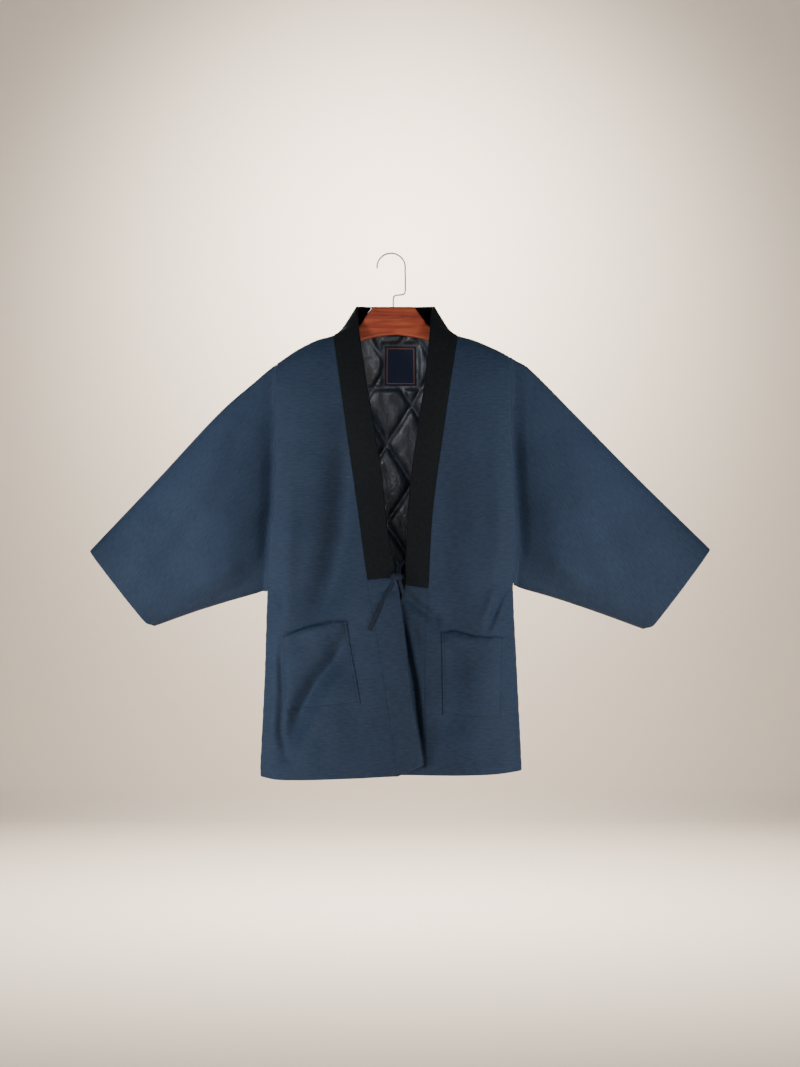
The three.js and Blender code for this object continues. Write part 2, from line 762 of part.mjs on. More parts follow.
const { point: underKnot } = onBody(FACES.right, KNOT.x, KNOT.z);
const knotAt = underKnot.addScaledVector(FRONT, GAP + KNOT.halfDepth);
const fromKnot = (x, y, z) => knotAt.clone().add(new THREE.Vector3(x, y, z));

function knot() {
  const ball = new THREE.SphereGeometry(1, 16, 10);
  return ball.scale(KNOT.halfWidth, KNOT.halfDepth, KNOT.halfHeight);
}

// A flat tie along a route, its broad side to the front.
function tie(route, width) {
  const line = new THREE.CatmullRomCurve3(route);
  const grid = even(8).map((along) => {
    const sideways = line.getTangent(along).cross(FRONT).normalize();
    const normal = sideways.clone().cross(line.getTangent(along));
    return [-0.5, 0, 0.5].map((share) => ({
      point: line.getPoint(along).addScaledVector(sideways, share * width),
      normal: normal.dot(FRONT) < 0 ? normal.clone().negate() : normal,
    }));
  });
  return wall(grid, TIE_CLOTH);
}

// The long end lies down the right band and over its seam.
const longTieRoute = LONG_TIE.map(({ x, z }) => {
  return moved(onBody(FACES.right, x, z), TIE_CLOTH + 3 * GAP).point;
});

// ---------------------------------------------------------------- hanger

// The wood seen from the front: arms under the shoulders, and a flat-topped neck between them.
function hangerOutline() {
  const neck = [
    [-82, -152],
    [-54, -129],
    [-34, -98],
    [42, -98],
    [66, -129],
    [96, -152],
  ];
  const armTop = (x) => [x, shoulder(x) - CLOTH - HANGER_CLEAR];
  const armFoot = (x) => [x, shoulder(x) - CLOTH - HANGER_CLEAR - HANGER_ARM_HEIGHT];
  const steps = (from, to, count) => even(count).map((share) => mix(from, to, share));
  const tipDrop = 8; // the arms' ends are cut back from the shoulder line
  const { right, left } = HANGER_REACH;
  const points = [
    [right, shoulder(right) - CLOTH - tipDrop],
    ...steps(right + 14, NECK_RIGHT_X, 4).map(armTop),
    ...neck,
    ...steps(NECK_LEFT_X, left - 14, 4).map(armTop),
    [left, shoulder(left) - CLOTH - tipDrop],
    ...steps(left - 3, NECK_LEFT_X + 4, 4).map(armFoot),
    [65, -157],
    [34, -151],
    [6, -149],
    [-22, -151],
    [-51, -157],
    ...steps(NECK_RIGHT_X - 4, right + 3, 4).map(armFoot),
  ];
  return new THREE.Shape(points.map(([x, z]) => new THREE.Vector2(x, z)));
}

const HOOK_BORE = { depth: 18, clearance: 0.3 };
const HOOK_STEM_X = 4;

function hangerWood() {
  const plank = new THREE.ExtrudeGeometry(hangerOutline(), {
    depth: HANGER_THICKNESS - 2 * HANGER_ROUND,
    bevelThickness: HANGER_ROUND,
    bevelSize: HANGER_ROUND,
    bevelOffset: -HANGER_ROUND,
    bevelSegments: 2,
  });
  plank.rotateX(Math.PI / 2).translate(0, HANGER_THICKNESS / 2 - HANGER_ROUND, 0);
  const boreRadius = HOOK_WIRE / 2 + HOOK_BORE.clearance;
  const bore = new THREE.CylinderGeometry(boreRadius, boreRadius, 2 * HOOK_BORE.depth, 12);
  bore.rotateX(Math.PI / 2).translate(HOOK_STEM_X, 0, -98);
  return fromManifold(toManifold(plank).subtract(toManifold(bore)));
}

// The wire hook: a stem out of the wood, a step to one side, and an open crook over the nail.
function hangerHook() {
  const crook = 25.5; // radius of the crook's wire
  const crookX = 0;
  const crookZ = HOOK_WIRE / 2 - crook;
  const arc = even(10).map((share) => {
    const angle = mix(-0.05, 1.02, share) * Math.PI;
    return [crookX + crook * Math.cos(angle), crookZ + crook * Math.sin(angle)];
  });
  const points = [
    [HOOK_STEM_X, -98 - HOOK_BORE.depth + 1],
    [HOOK_STEM_X, -96],
    [HOOK_STEM_X, -80],
    [HOOK_STEM_X + 3, -75],
    [22, -73],
    [25.5, -68],
    [crook + 0.2, -48],
    ...arc,
  ];
  const path = new THREE.CatmullRomCurve3(
    points.map(([x, z]) => new THREE.Vector3(x, 0, z)),
    false,
    "centripetal",
  );
  const section = new THREE.Shape().absarc(0, 0, HOOK_WIRE / 2, 0, 2 * Math.PI);
  return new THREE.ExtrudeGeometry(section, { steps: 44, curveSegments: 4, extrudePath: path });
}

// ---------------------------------------------------------------- the haori

const group = new THREE.Group();
const add = (name, material, geometry) => group.add(meshOf(name, material, geometry));

add("back", "cloth", wall(backGrid, CLOTH));
add("front_right", "cloth", frontPanel(SIDES.right));
add("front_left", "cloth", frontPanel(SIDES.left));
add("sleeve_right", "cloth", sleeve("right"));
add("sleeve_left", "cloth", sleeve("left"));
add("collar", "collar", collar());
add("band_right", "cloth", band("right", BAND_RIGHT));
add("band_left", "cloth", band("left", BAND_LEFT));
add("pocket_right", "cloth", pocket("right", POCKET_RIGHT));
add("pocket_left", "cloth", pocket("left", POCKET_LEFT));
add("lining_back", "lining", wall(liningGrid, LINING_CLOTH));
add("label", "label", label());

const knotMesh = meshOf("tie_knot", "cloth", knot());
knotMesh.position.copy(knotAt);
group.add(knotMesh);
add("tie_long", "cloth", tie(longTieRoute, 10));
add("tie_short", "cloth", tie([fromKnot(5, 0, -6.7), fromKnot(9, 1, -20), fromKnot(13, 2, -36)], 6));

// Both ties come round the collar's free edges from behind, where they are sewn on.
const rightStrand = [fromKnot(1, -1, 8), fromKnot(3, 9, 22), fromKnot(-7, 14.8, 32)];
const leftStrand = [fromKnot(6, -1, 7.6), fromKnot(8, 12, 20), fromKnot(19, 24, 31)];
add("tie_strand_right", "cloth", tie(rightStrand, 3));
add("tie_strand_left", "cloth", tie(leftStrand, 3));
add("hanger_wood", "wood", hangerWood());
add("hanger_hook", "wire", hangerHook());

export default group;
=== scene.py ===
"""A short padded haori (a hanten) on its wooden hanger, hanging flat from the hanger's hook.

The frame is in metres, +Z up. The front of the jacket faces -Y, and right and left are the
wearer's, so its right side is at -X. The origin is the inside top of the hook. Sizes are written
in millimetres, and become metres where a mesh is made.
"""

import math

import bmesh
import bpy
import numpy as np
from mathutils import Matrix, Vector


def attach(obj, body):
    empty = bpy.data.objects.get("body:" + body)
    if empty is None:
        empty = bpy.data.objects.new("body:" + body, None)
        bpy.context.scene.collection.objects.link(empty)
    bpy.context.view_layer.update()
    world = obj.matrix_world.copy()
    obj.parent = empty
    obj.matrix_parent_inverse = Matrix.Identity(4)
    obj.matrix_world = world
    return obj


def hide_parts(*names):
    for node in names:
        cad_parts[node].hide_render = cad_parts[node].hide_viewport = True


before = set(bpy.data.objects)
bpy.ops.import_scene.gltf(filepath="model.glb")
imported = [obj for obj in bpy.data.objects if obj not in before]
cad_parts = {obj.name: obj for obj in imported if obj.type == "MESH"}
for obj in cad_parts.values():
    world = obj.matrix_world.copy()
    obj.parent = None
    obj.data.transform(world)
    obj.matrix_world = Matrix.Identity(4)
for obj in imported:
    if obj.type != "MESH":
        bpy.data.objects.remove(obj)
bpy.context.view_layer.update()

# ---------------------------------------------------------------------------------------------
# Studio: a pale painted floor that curves up into a wall behind the hanging jacket, broad soft
# lamps in front of it, and a long lens square to the jacket at the height of its chest.

MM = 0.001


def colour(red, green, blue):
    """A colour from its three 8-bit screen values, as the shader wants it."""
    return tuple(((value / 255 + 0.055) / 1.055) ** 2.4 for value in (red, green, blue)) + (1,)


def mesh_of(name, points, quads, uv=None):
    """A smooth mesh object from an array of points in millimetres and its four-sided faces."""
    mesh = bpy.data.meshes.new(name)
    mesh.from_pydata((np.asarray(points) * MM).tolist(), [], np.asarray(quads).tolist())
    if uv is not None:
        layer = mesh.uv_layers.new(name="cloth")
        layer.uv.foreach_set("vector", (uv[np.asarray(quads).ravel()] * MM).ravel())
    mesh.update()
    mesh.shade_smooth()
    return in_scene(name, mesh)


def in_scene(name, data):
    """A new object of the scene that shows the data."""
    thing = bpy.data.objects.new(name, data)
    bpy.context.scene.collection.objects.link(thing)
    return thing


def grid_numbers(rows, columns):
    """The places in a list of the points of a grid, row by row."""
    return np.arange(rows * columns).reshape(rows, columns)


def grid_faces(at):
    """The four-sided faces between the numbered points of a grid."""
    return np.stack([at[:-1, :-1], at[:-1, 1:], at[1:, 1:], at[1:, :-1]], -1).reshape(-1, 4)


def feed(tree, node, inputs):
    """Set the inputs of a node, each to a constant or from the output of another node."""
    for socket, value in inputs.items():
        if isinstance(value, bpy.types.NodeSocket):
            tree.links.new(value, node.inputs[socket])
        else:
            node.inputs[socket].default_value = value


def add_node(tree, kind, inputs=None, **settings):
    """A new node of a tree, with its settings made and its inputs fed."""
    node = tree.nodes.new(kind)
    for setting, value in settings.items():
        setattr(node, setting, value)
    feed(tree, node, inputs or {})
    return node


def new_finish(name):
    """A new material, its node tree and its shader."""
    material = bpy.data.materials.new(name)
    material.use_nodes = True
    return material, material.node_tree, material.node_tree.nodes["Principled BSDF"]


FLOOR_Z = -1700
WALL_Y = 6000
WALL_TOP_Z = 6000
COVE = 150
STUDIO_WIDTH = 36000
STUDIO_FRONT_Y = -18000

turn = np.linspace(0, math.pi / 2, 24)
sweep_y = np.concatenate([[STUDIO_FRONT_Y], WALL_Y - COVE + COVE * np.sin(turn), [WALL_Y]])
sweep_z = np.concatenate([[FLOOR_Z], FLOOR_Z + COVE - COVE * np.cos(turn), [WALL_TOP_Z]])
sides = (-STUDIO_WIDTH / 2, STUDIO_WIDTH / 2)
sweep = [[x, y, z] for x in sides for y, z in zip(sweep_y, sweep_z)]
studio_floor = mesh_of("studio_floor", sweep, grid_faces(grid_numbers(2, len(sweep_y)))[:, ::-1])
paint, tree, shader = new_finish("studio_paint")
look = {
    "Base Color": colour(228, 217, 203),
    "Roughness": 0.9,
    "Emission Color": colour(228, 219, 208),
    "Emission Strength": 0.36,
}
feed(tree, shader, look)
studio_floor.data.materials.append(paint)


def softbox(name, place, aim, size, watts, spread=180, tint=(1, 1, 1), only=None):
    """A lamp, its width and height in metres, turned to face a point. It lights everything, or
    only the pieces of one collection, on which the others then leave no shadow."""
    data = bpy.data.lights.new(name, "AREA")
    data.shape = "RECTANGLE"
    data.size, data.size_y = size
    data.energy = watts
    data.spread = math.radians(spread)
    data.color = tint
    lamp = in_scene(name, data)
    lamp.location = place
    lamp.rotation_euler = (Vector(aim) - Vector(place)).to_track_quat("-Z", "Y").to_euler()
    lamp.visible_camera = False
    if only is not None:
        lamp.light_linking.receiver_collection = only
        lamp.light_linking.blocker_collection = only


backdrop = bpy.data.collections.new("backdrop")
backdrop.objects.link(studio_floor)
WARM = (1, 0.905, 0.79)
softbox("right_side_lamp", (-1.25, -1.0, -0.52), (-0.32, 0, -0.56), (0.3, 1.15), 1.95, 32)
softbox("left_side_lamp", (1.25, -1.0, -0.52), (0.34, 0, -0.56), (0.3, 1.15), 1.65, 32)
softbox("front_lamp", (-0.3, -4.4, 1.0), (0, 0, -0.5), (1.2, 1.2), 4.5)
softbox("wall_lamp", (0, 3.85, 1.1), (0, 6, 0.55), (0.9, 0.9), 64, 80, WARM, backdrop)
softbox("floor_lamp", (0, 3.5, 3.3), (0, 3.55, -1.7), (1.2, 0.9), 134, 66, WARM, backdrop)
softbox("near_floor_lamp", (0, -2.4, 3.3), (0, -2.45, -1.7), (0.9, 0.9), 66, 66, WARM, backdrop)
softbox("right_back_lamp", (-1.7, 3.8, 1.2), (0, 0, -0.5), (0.8, 0.8), 5, 40)
softbox("left_back_lamp", (1.1, 4.0, 0.4), (0, 0, -0.5), (0.8, 0.8), 3, 40)

# The air round the studio gives a little even light, and looks like more floor past its edges.
world = bpy.data.worlds.new("studio_air")
world.use_nodes = True
air = world.node_tree
glow = air.nodes["Background"]
feed(air, glow, {"Color": (1.0, 0.97, 0.94, 1), "Strength": 0.04})
far_floor = add_node(air, "ShaderNodeBackground", {"Color": colour(152, 146, 138)})
ray = add_node(air, "ShaderNodeLightPath")
either = {"Fac": ray.outputs["Is Camera Ray"], 1: glow.outputs[0], 2: far_floor.outputs[0]}
mixed = add_node(air, "ShaderNodeMixShader", either)
feed(air, air.nodes["World Output"], {"Surface": mixed.outputs[0]})
bpy.context.scene.world = world

LENS = 85
SENSOR = 36
VIEW_HEIGHT = 1.9206  # of the plane through the hanger
camera_data = bpy.data.cameras.new("camera")
camera_data.lens = LENS
camera_data.sensor_width = SENSOR
camera = in_scene("camera", camera_data)
camera.location = (0.016, -VIEW_HEIGHT * LENS / SENSOR, -0.503)
camera.rotation_euler = (math.pi / 2, 0, 0)
bpy.context.scene.camera = camera

# ---------------------------------------------------------------------------------------------
# Back: one panel of navy slub cotton, wadded and lined, from the neck and shoulders to the hem.
# It is cut straight and takes its form from the hanger: a tent over the shoulders that runs out
# flat to the side seams. It is sewn to the fronts along the shoulders and sides.


def curve(*rows):
    """A smooth curve through (key, value) rows, level past both of its ends."""
    keys, values = np.array(sorted(rows), float).T
    last = len(keys) - 1
    before = np.maximum(np.arange(last + 1) - 1, 0)
    after = np.minimum(np.arange(last + 1) + 1, last)
    slopes = (values[after] - values[before]) / (keys[after] - keys[before])

    def at(key):
        key = np.clip(key, keys[0], keys[-1])
        i = np.clip(np.searchsorted(keys, key, side="right") - 1, 0, last - 1)
        span = keys[i + 1] - keys[i]
        t = (key - keys[i]) / span
        rise = (t - 1) ** 2 * t * slopes[i] + (t - 1) * t * t * slopes[i + 1]
        return values[i] + (values[i + 1] - values[i]) * t * t * (3 - 2 * t) + span * rise

    return at


def ease(share):
    share = np.clip(share, 0, 1)
    return share * share * (3 - 2 * share)


def rounded(share):
    """A quarter of an ellipse: 0 at 0, and 1 from 1 on."""
    return np.sqrt(1 - (1 - np.clip(share, 0, 1)) ** 2)


def mix(a, b, share):
    return a + (b - a) * share


def unit(vectors):
    return vectors / np.linalg.norm(vectors, axis=-1, keepdims=True)


CLOTH = 5  # outer cloth, wadding and lining together
TENT_HEIGHT = 250
SECTION_POWER = 2.5
UNDERARM_SHARE = 0.447
UNDERARM_ROUND = 120
HEM_Z = -935
NECK_Z = -146
NECK_X = {"right": -104, "left": 120}
TIP_Z = {"right": -198, "left": -185}

shoulder = curve(
    (-206, -198), (-182, -181), (-157, -166), (-131, -154), (-104, -146), (-50, -112), (8, -88),
    (66, -112), (120, -146), (146, -154), (171, -164), (193, -174), (214, -185),
)  # fmt: skip
hem = curve((-236, -940), (-200, -944), (-74, -940), (12, -935), (178, -934), (236, -929))
back_neck = curve((-104, -146), (8, -153), (120, -146))
side_edge = {
    "right": curve(
        (-198, -206), (-443, -208), (-510, -216), (-606, -223), (-758, -228), (-920, -236)
    ),
    "left": curve(
        (-185, 214), (-299, 214), (-443, 220), (-515, 223), (-599, 220), (-731, 226), (-929, 236)
    ),
}
underarm_z = {
    which: mix(hem(edge(HEM_Z)), TIP_Z[which], UNDERARM_SHARE)
    for which, edge in side_edge.items()
}


FOLD_FADE = 0.3  # the share of a fold's length over which it runs out at each end
FOLD_END = 0.3  # the share of its height that is left at its ends


def fold_height(folds, x, z):
    """The height of soft troughs and ridges, which run out at both ends of their routes."""
    height = 0
    for width, rise, *route in folds:
        lengths = [math.dist(a, b) for a, b in zip(route, route[1:])]
        nearest, along, passed = np.inf, 0, 0
        for (x0, z0), (x1, z1), length in zip(route, route[1:], lengths):
            share = ((x - x0) * (x1 - x0) + (z - z0) * (z1 - z0)) / length**2
            share = np.clip(share, 0, 1)
            away = np.hypot(x - mix(x0, x1, share), z - mix(z0, z1, share))
            along = np.where(away < nearest, passed + share * length, along)
            nearest = np.minimum(nearest, away)
            passed += length
        run_out = ease(np.minimum(along, passed - along) / (FOLD_FADE * passed))
        height = height + rise * mix(FOLD_END, 1, run_out) * np.exp(-((nearest / width) ** 2))
    return height


SLACK_WAVES = 6
SLACK_HEIGHT = 0.42
SLACK_LENGTHS = (46, 17)  # of the shortest wave, and by how much each next one is longer


def slack(x, z, seed):
    """The shallow unevenness of wadded cloth that hangs free, about a millimetre each way."""
    height = 0
    for i in range(SLACK_WAVES):
        angle = 2.4 * i + 0.7 * seed
        length = SLACK_LENGTHS[0] + SLACK_LENGTHS[1] * i
        across = x * np.cos(angle) + z * np.sin(angle)
        height = height + np.sin(1.7 * i + seed) * np.sin(across * 2 * math.pi / length + 2.1 * i)
    return SLACK_HEIGHT * height


FOLD_ROOM = 26  # the depth of the body from which its folds have their full height


class Face:
    """The front or back of the body: how far it stands off the plane of the hanger."""

    def __init__(self, way, middle, armhole, folds, lap=None, seed=1):
        self.way = way
        self.middle = middle
        self.armhole = armhole
        self.folds = folds
        self.lap = lap or (lambda x, z: 0)
        self.seed = seed

    def outward(self, x, z):
        """0 at the middle of the body, 1 at its armhole or side seam."""
        return np.abs(x / np.where(x < 0, side_edge["right"](z), side_edge["left"](z)))

    def plain_squared(self, x, z):
        """The square of the depth before folds, which crosses 0 evenly at shoulder and side."""
        underarm = np.where(x < 0, underarm_z["right"], underarm_z["left"])
        drop = np.minimum(1, (shoulder(x) - z) / TENT_HEIGHT)
        tent = 1 - (1 - drop) ** 3
        armhole = (self.armhole * rounded((z - underarm) / UNDERARM_ROUND)) ** 2
        across = 1 - self.outward(x, z) ** SECTION_POWER
        return tent * (armhole + (self.middle(z) ** 2 - armhole) * across)

    def squared(self, x, z):
        plain = self.plain_squared(x, z)
        depth = np.sqrt(np.maximum(plain, 0))
        fades = np.minimum(1, depth / FOLD_ROOM) ** 2 * (1 - np.minimum(1, self.outward(x, z)) ** 10)
        extra = self.lap(x, z) + fold_height(self.folds, x, z) + slack(x, z, self.seed)
        return np.where(plain > 0, (depth + extra * fades) ** 2, plain)

    def surface(self, x, z):
        """Points of the outer face in millimetres, and their normals."""
        step = 0.5
        square = self.squared(x, z)
        depth = np.sqrt(np.maximum(square, 0))
        slope_x = self.squared(x + step, z) - self.squared(x - step, z)
        slope_z = self.squared(x, z + step) - self.squared(x, z - step)
        points = np.stack(np.broadcast_arrays(x, self.way * depth, z), -1)
        normals = np.stack(np.broadcast_arrays(-slope_x, self.way * 4 * step * depth, -slope_z), -1)
        return points, unit(normals)


BACK_FOLDS = [
    # width, height, then the route through x, z
    (30, -9, (-150, -300), (-142, -600), (-126, -910)),
    (38, -6, (20, -420), (14, -660), (8, -920)),
    (32, -10, (162, -320), (152, -600), (138, -910)),
    (9, -6, (-214, -616), (-176, -668), (-150, -700)),
    (9, -4, (-206, -640), (-180, -700), (-162, -750)),
    (9, -6, (214, -606), (178, -664), (150, -700)),
    (9, -4, (204, -636), (180, -700), (166, -756)),
    (18, -4, (-58, -200), (-74, -300), (-92, -430)),
    (20, -4, (74, -205), (84, -300), (100, -410)),
    (16, 3, (-188, -240), (-194, -420), (-190, -560)),
    (16, 3, (196, -240), (202, -420), (198, -560)),
]
back_face = Face(
    way=1,
    middle=curve((-146, 50), (-400, 50), (-620, 44), (-945, 38)),
    armhole=42,
    folds=BACK_FOLDS,
    seed=2,
)

GRID_STEP = 3.6
RIM_STEPS = np.array([0, 0.3, 0.8, 1.6, 2.6, 4.0, 5.8])


def even_steps(path, step=GRID_STEP):
    """Shares of a path at even lengths along it, with closer ones where its ends turn over."""
    dense = np.linspace(0, 1, 1200)
    lengths = np.linalg.norm(np.diff(path(dense), axis=0), axis=1)
    length = np.concatenate([[0], np.cumsum(lengths)])
    total = length[-1]
    inner = np.linspace(RIM_STEPS[-1], total - RIM_STEPS[-1], max(3, round(total / step)))
    return np.interp(np.concatenate([RIM_STEPS[:-1], inner, total - RIM_STEPS[-2::-1]]), length, dense)


def even_grid(surface, *which, step=GRID_STEP):
    """Even shares across and along a surface, with its points and normals over their grid."""
    across = even_steps(lambda s: surface(*which, s, 0.5)[0], step)[None, :]
    along = even_steps(lambda s: surface(*which, 0.5, s)[0], step)[:, None]
    return across, along, *surface(*which, across, along)


# How far each kind of edge draws the wall together, as a share of it, and over what width.
SEAM = {"pinch": 0.55, "reach": 5, "pucker": 0.55}
ARMHOLE_SEAM = {"pinch": 0.55, "reach": 5, "pucker": 1.1}
SHOULDER_SEAM = {"pinch": 0.2, "reach": 4, "pucker": 0.1}
BAND_SEAM = {"pinch": 0.25, "reach": 4, "pucker": 0.4}
FREE = {"pinch": 0.94, "reach": 2.6, "pucker": 0}
HEMMED = {"pinch": 0.94, "reach": 2.8, "pucker": 0.35}
PUCKER_REACH = 11  # how far the puckers of a seam run out into the cloth
PUCKER_RUNS = (4.3, 6.9, 2.7)  # lengths along the seam that the puckers are mixed from


def lengths_along(points, axis):
    """The distance of each grid point from the first one of its row or column."""
    steps = np.linalg.norm(np.diff(points, axis=axis), axis=-1)
    start = np.zeros_like(np.take(steps, [0], axis=axis))
    return np.concatenate([start, np.cumsum(steps, axis=axis)], axis=axis)


def padded_wall(points, normals, thickness, edges, seed=0):
    """The outer and inner faces of a wall, drawn together along its edges. The edges are those at
    the grid's first row, last row, first column and last column, or None for no edge."""
    down, across = lengths_along(points, 0), lengths_along(points, 1)
    distances = [down, down[-1:] - down, across, across[:, -1:] - across]
    runs = [across, across, down, down]
    pinch = np.zeros(points.shape[:2])
    pucker = np.zeros(points.shape[:2])
    for edge, distance, run in zip(edges, distances, runs):
        if edge is None:
            continue
        pinch = np.maximum(pinch, edge["pinch"] * (1 - rounded(distance / edge["reach"])))
        ripple = 0
        for length, phase in zip(PUCKER_RUNS, (seed, 2 * seed, -seed)):
            ripple = ripple + np.sin(run / length + phase)
        pucker = pucker + edge["pucker"] * np.exp(-distance / PUCKER_REACH) * (ripple / 3 - 0.5)
    pinch, pucker = pinch[..., None], pucker[..., None]
    base = points + normals * pucker
    return (
        base - normals * thickness * pinch / 2,
        base - normals * thickness * (1 - pinch / 2),
    )


def rework(piece, *steps):
    """Put a piece's mesh through the steps in turn."""
    body = bmesh.new()
    body.from_mesh(piece.data)
    for step in steps:
        step(body)
    body.to_mesh(piece.data)
    body.free()


def merge_doubles(body):
    bmesh.ops.remove_doubles(body, verts=body.verts, dist=1e-6)


def shell(name, outer, inner, uv, materials, tube=False):
    """A closed wall between two faces, of which the inner one takes the second material, if there
    is one. A tube's first and last columns are the same."""
    at = grid_numbers(*outer.shape[:2])
    layer = at.size
    face = grid_faces(at)
    rims = [at[0], at[-1, ::-1]] + ([] if tube else [at[::-1, 0], at[:, -1]])
    walls = [np.stack([rim[1:], rim[:-1], rim[:-1] + layer, rim[1:] + layer], -1) for rim in rims]
    points = np.concatenate([outer.reshape(-1, 3), inner.reshape(-1, 3)])
    quads = np.concatenate([face, face[:, ::-1] + layer, *walls])
    a, b, c, d = (points[quads[:, k]] for k in range(4))
    if np.einsum("ij,ij->", a, np.cross(b, c)) + np.einsum("ij,ij->", a, np.cross(c, d)) < 0:
        quads = quads[:, ::-1]
    uv = uv.reshape(-1, 2)
    piece = mesh_of(name, points, quads, np.concatenate([uv, uv]))
    for material in materials:
        piece.data.materials.append(material)
    if len(materials) > 1:
        index = np.zeros(len(quads), np.int32)
        index[len(face) : 2 * len(face)] = 1
        piece.data.polygons.foreach_set("material_index", index)
    rework(piece, merge_doubles)
    piece.data.set_sharp_from_angle(angle=math.radians(60))
    return piece


def settle(piece, replaced=None):
    """Set a piece in the body, in place of the CAD piece that it stands for."""
    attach(piece, "root")
    if replaced is not None:
        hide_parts(replaced)


def cloth_uv(tree, across, along):
    """The piece's own cloth coordinates, in metres, times a scale each way."""
    uv = add_node(tree, "ShaderNodeUVMap", uv_map="cloth").outputs["UV"]
    scaled = {"Vector": uv, "Scale": (across, along, 1)}
    return add_node(tree, "ShaderNodeMapping", scaled).outputs["Vector"]


def noise(tree, vector, detail=2.0, roughness=0.5, distortion=0.0):
    inputs = {"Vector": vector, "Scale": 1, "Detail": detail}
    inputs |= {"Roughness": roughness, "Distortion": distortion}
    return add_node(tree, "ShaderNodeTexNoise", inputs).outputs["Fac"]


def maths(tree, operation, *terms):
    """One operation over terms, each a constant or the output of another node."""
    return add_node(tree, "ShaderNodeMath", dict(enumerate(terms)), operation=operation).outputs[0]


def ramp(tree, fac, *stops):
    """A colour ramp from (position, colour) stops."""
    node = add_node(tree, "ShaderNodeValToRGB", {"Fac": fac})
    elements = node.color_ramp.elements
    for position, shade in stops[2:]:
        elements.new(position).color = shade
    for element, (position, shade) in zip(sorted(elements, key=lambda e: e.position), sorted(stops)):
        element.position = position
        element.color = shade
    return node.outputs["Color"]


def bump(tree, height, distance, strength=1.0, under=None):
    inputs = {"Height": height, "Distance": distance, "Strength": strength}
    if under is not None:
        inputs["Normal"] = under
    return add_node(tree, "ShaderNodeBump", inputs).outputs["Normal"]


SLUB_LENGTH = 0.012  # of a slub along the weft
SLUB_PITCH = 0.0036  # from one slub to the next
THREAD = 0.0007
THREAD_CHANGES = 110  # of its thickness, along a metre of it


def slub_cotton(name, deep, mid, light):
    """Navy cotton with uneven weft threads that stand up in short level ribs."""
    material, tree, shader = new_finish(name)
    slubs = noise(tree, cloth_uv(tree, 1 / SLUB_LENGTH, 1 / SLUB_PITCH), 3, 0.55)
    fade = noise(tree, cloth_uv(tree, 9, 9), 3, 0.6)
    weft = noise(tree, cloth_uv(tree, THREAD_CHANGES, 1 / THREAD))
    warp = noise(tree, cloth_uv(tree, 1 / THREAD, THREAD_CHANGES))
    threads = maths(tree, "ADD", weft, warp)
    tone = maths(tree, "MULTIPLY_ADD", slubs, 0.52, 0.07)
    tone = maths(tree, "MULTIPLY_ADD", threads, 0.12, tone)
    tone = maths(tree, "MULTIPLY_ADD", fade, 0.2, tone)
    relief = bump(tree, threads, 0.00012, 0.6)
    look = {
        "Base Color": ramp(tree, tone, (0.3, deep), (0.5, mid), (0.7, light)),
        "Normal": bump(tree, slubs, 0.0014, 0.6, relief),
        "Roughness": 0.78,
        "Specular IOR Level": 0.32,
        "Sheen Weight": 0.08,
        "Sheen Roughness": 0.5,
        "Sheen Tint": (0.45, 0.6, 0.85, 1),
    }
    feed(tree, shader, look)
    return material


def lining_satin(name, deep, light):
    """Black satin, smooth along its floats, with the small creases that wadding leaves in it. Its colour
    is painted shade and light from these creases, darker in their hollows and lighter on their crests.
    """
    material, tree, shader = new_finish(name)
    creases = noise(tree, cloth_uv(tree, 62, 34), 6, 0.66, 1.4)
    floats = noise(tree, cloth_uv(tree, 1500, 160))
    relief = bump(tree, floats, 0.00005, 0.5)
    look = {
        # painted shade and light: the colour darkens in the crease hollows and lightens on their crests
        "Base Color": ramp(tree, creases, (0.3, deep), (0.7, light)),
        "Normal": bump(tree, creases, 0.004, 0.5, relief),
        "Roughness": 0.38,
        "Specular IOR Level": 0.5,
        "Anisotropic": 0.3,
    }
    feed(tree, shader, look)
    return material


navy_cotton = slub_cotton("navy_cotton", colour(27, 40, 58), colour(33, 49, 72), colour(40, 58, 84))
black_satin = lining_satin("black_satin", colour(20, 22, 26), colour(34, 38, 44))


def back_place(across, up):
    """x and z of a share across the back, from its right to its left, and up from the hem."""
    edges = {}
    for which, edge in side_edge.items():
        edges[which] = edge(mix(hem(edge(HEM_Z)), TIP_Z[which], up))
    foot_x = mix(side_edge["right"](HEM_Z), side_edge["left"](HEM_Z), across)
    top_x = mix(side_edge["right"](TIP_Z["right"]), side_edge["left"](TIP_Z["left"]), across)
    is_neck = (top_x > NECK_X["right"]) & (top_x < NECK_X["left"])
    top_z = np.where(is_neck, back_neck(top_x), shoulder(top_x))
    return mix(edges["right"], edges["left"], across), mix(hem(foot_x), top_z, up)


def back_surface(across, up):
    return back_face.surface(*back_place(across, up))


_, _, points, normals = even_grid(back_surface)
wall = padded_wall(points, normals, CLOTH, [HEMMED, SHOULDER_SEAM, SEAM, SEAM], seed=1)
back_panel = shell("back_panel", *wall, points[..., [0, 2]], [navy_cotton, black_satin])
settle(back_panel, "back")

# ---------------------------------------------------------------------------------------------
# Fronts: the right and left panels, from the collar seam out to the armhole and side seam. The
# right one laps over the left one below the collar. They hang in soft vertical rolls, with short
# creases at the underarms and a pull from the tied ties.

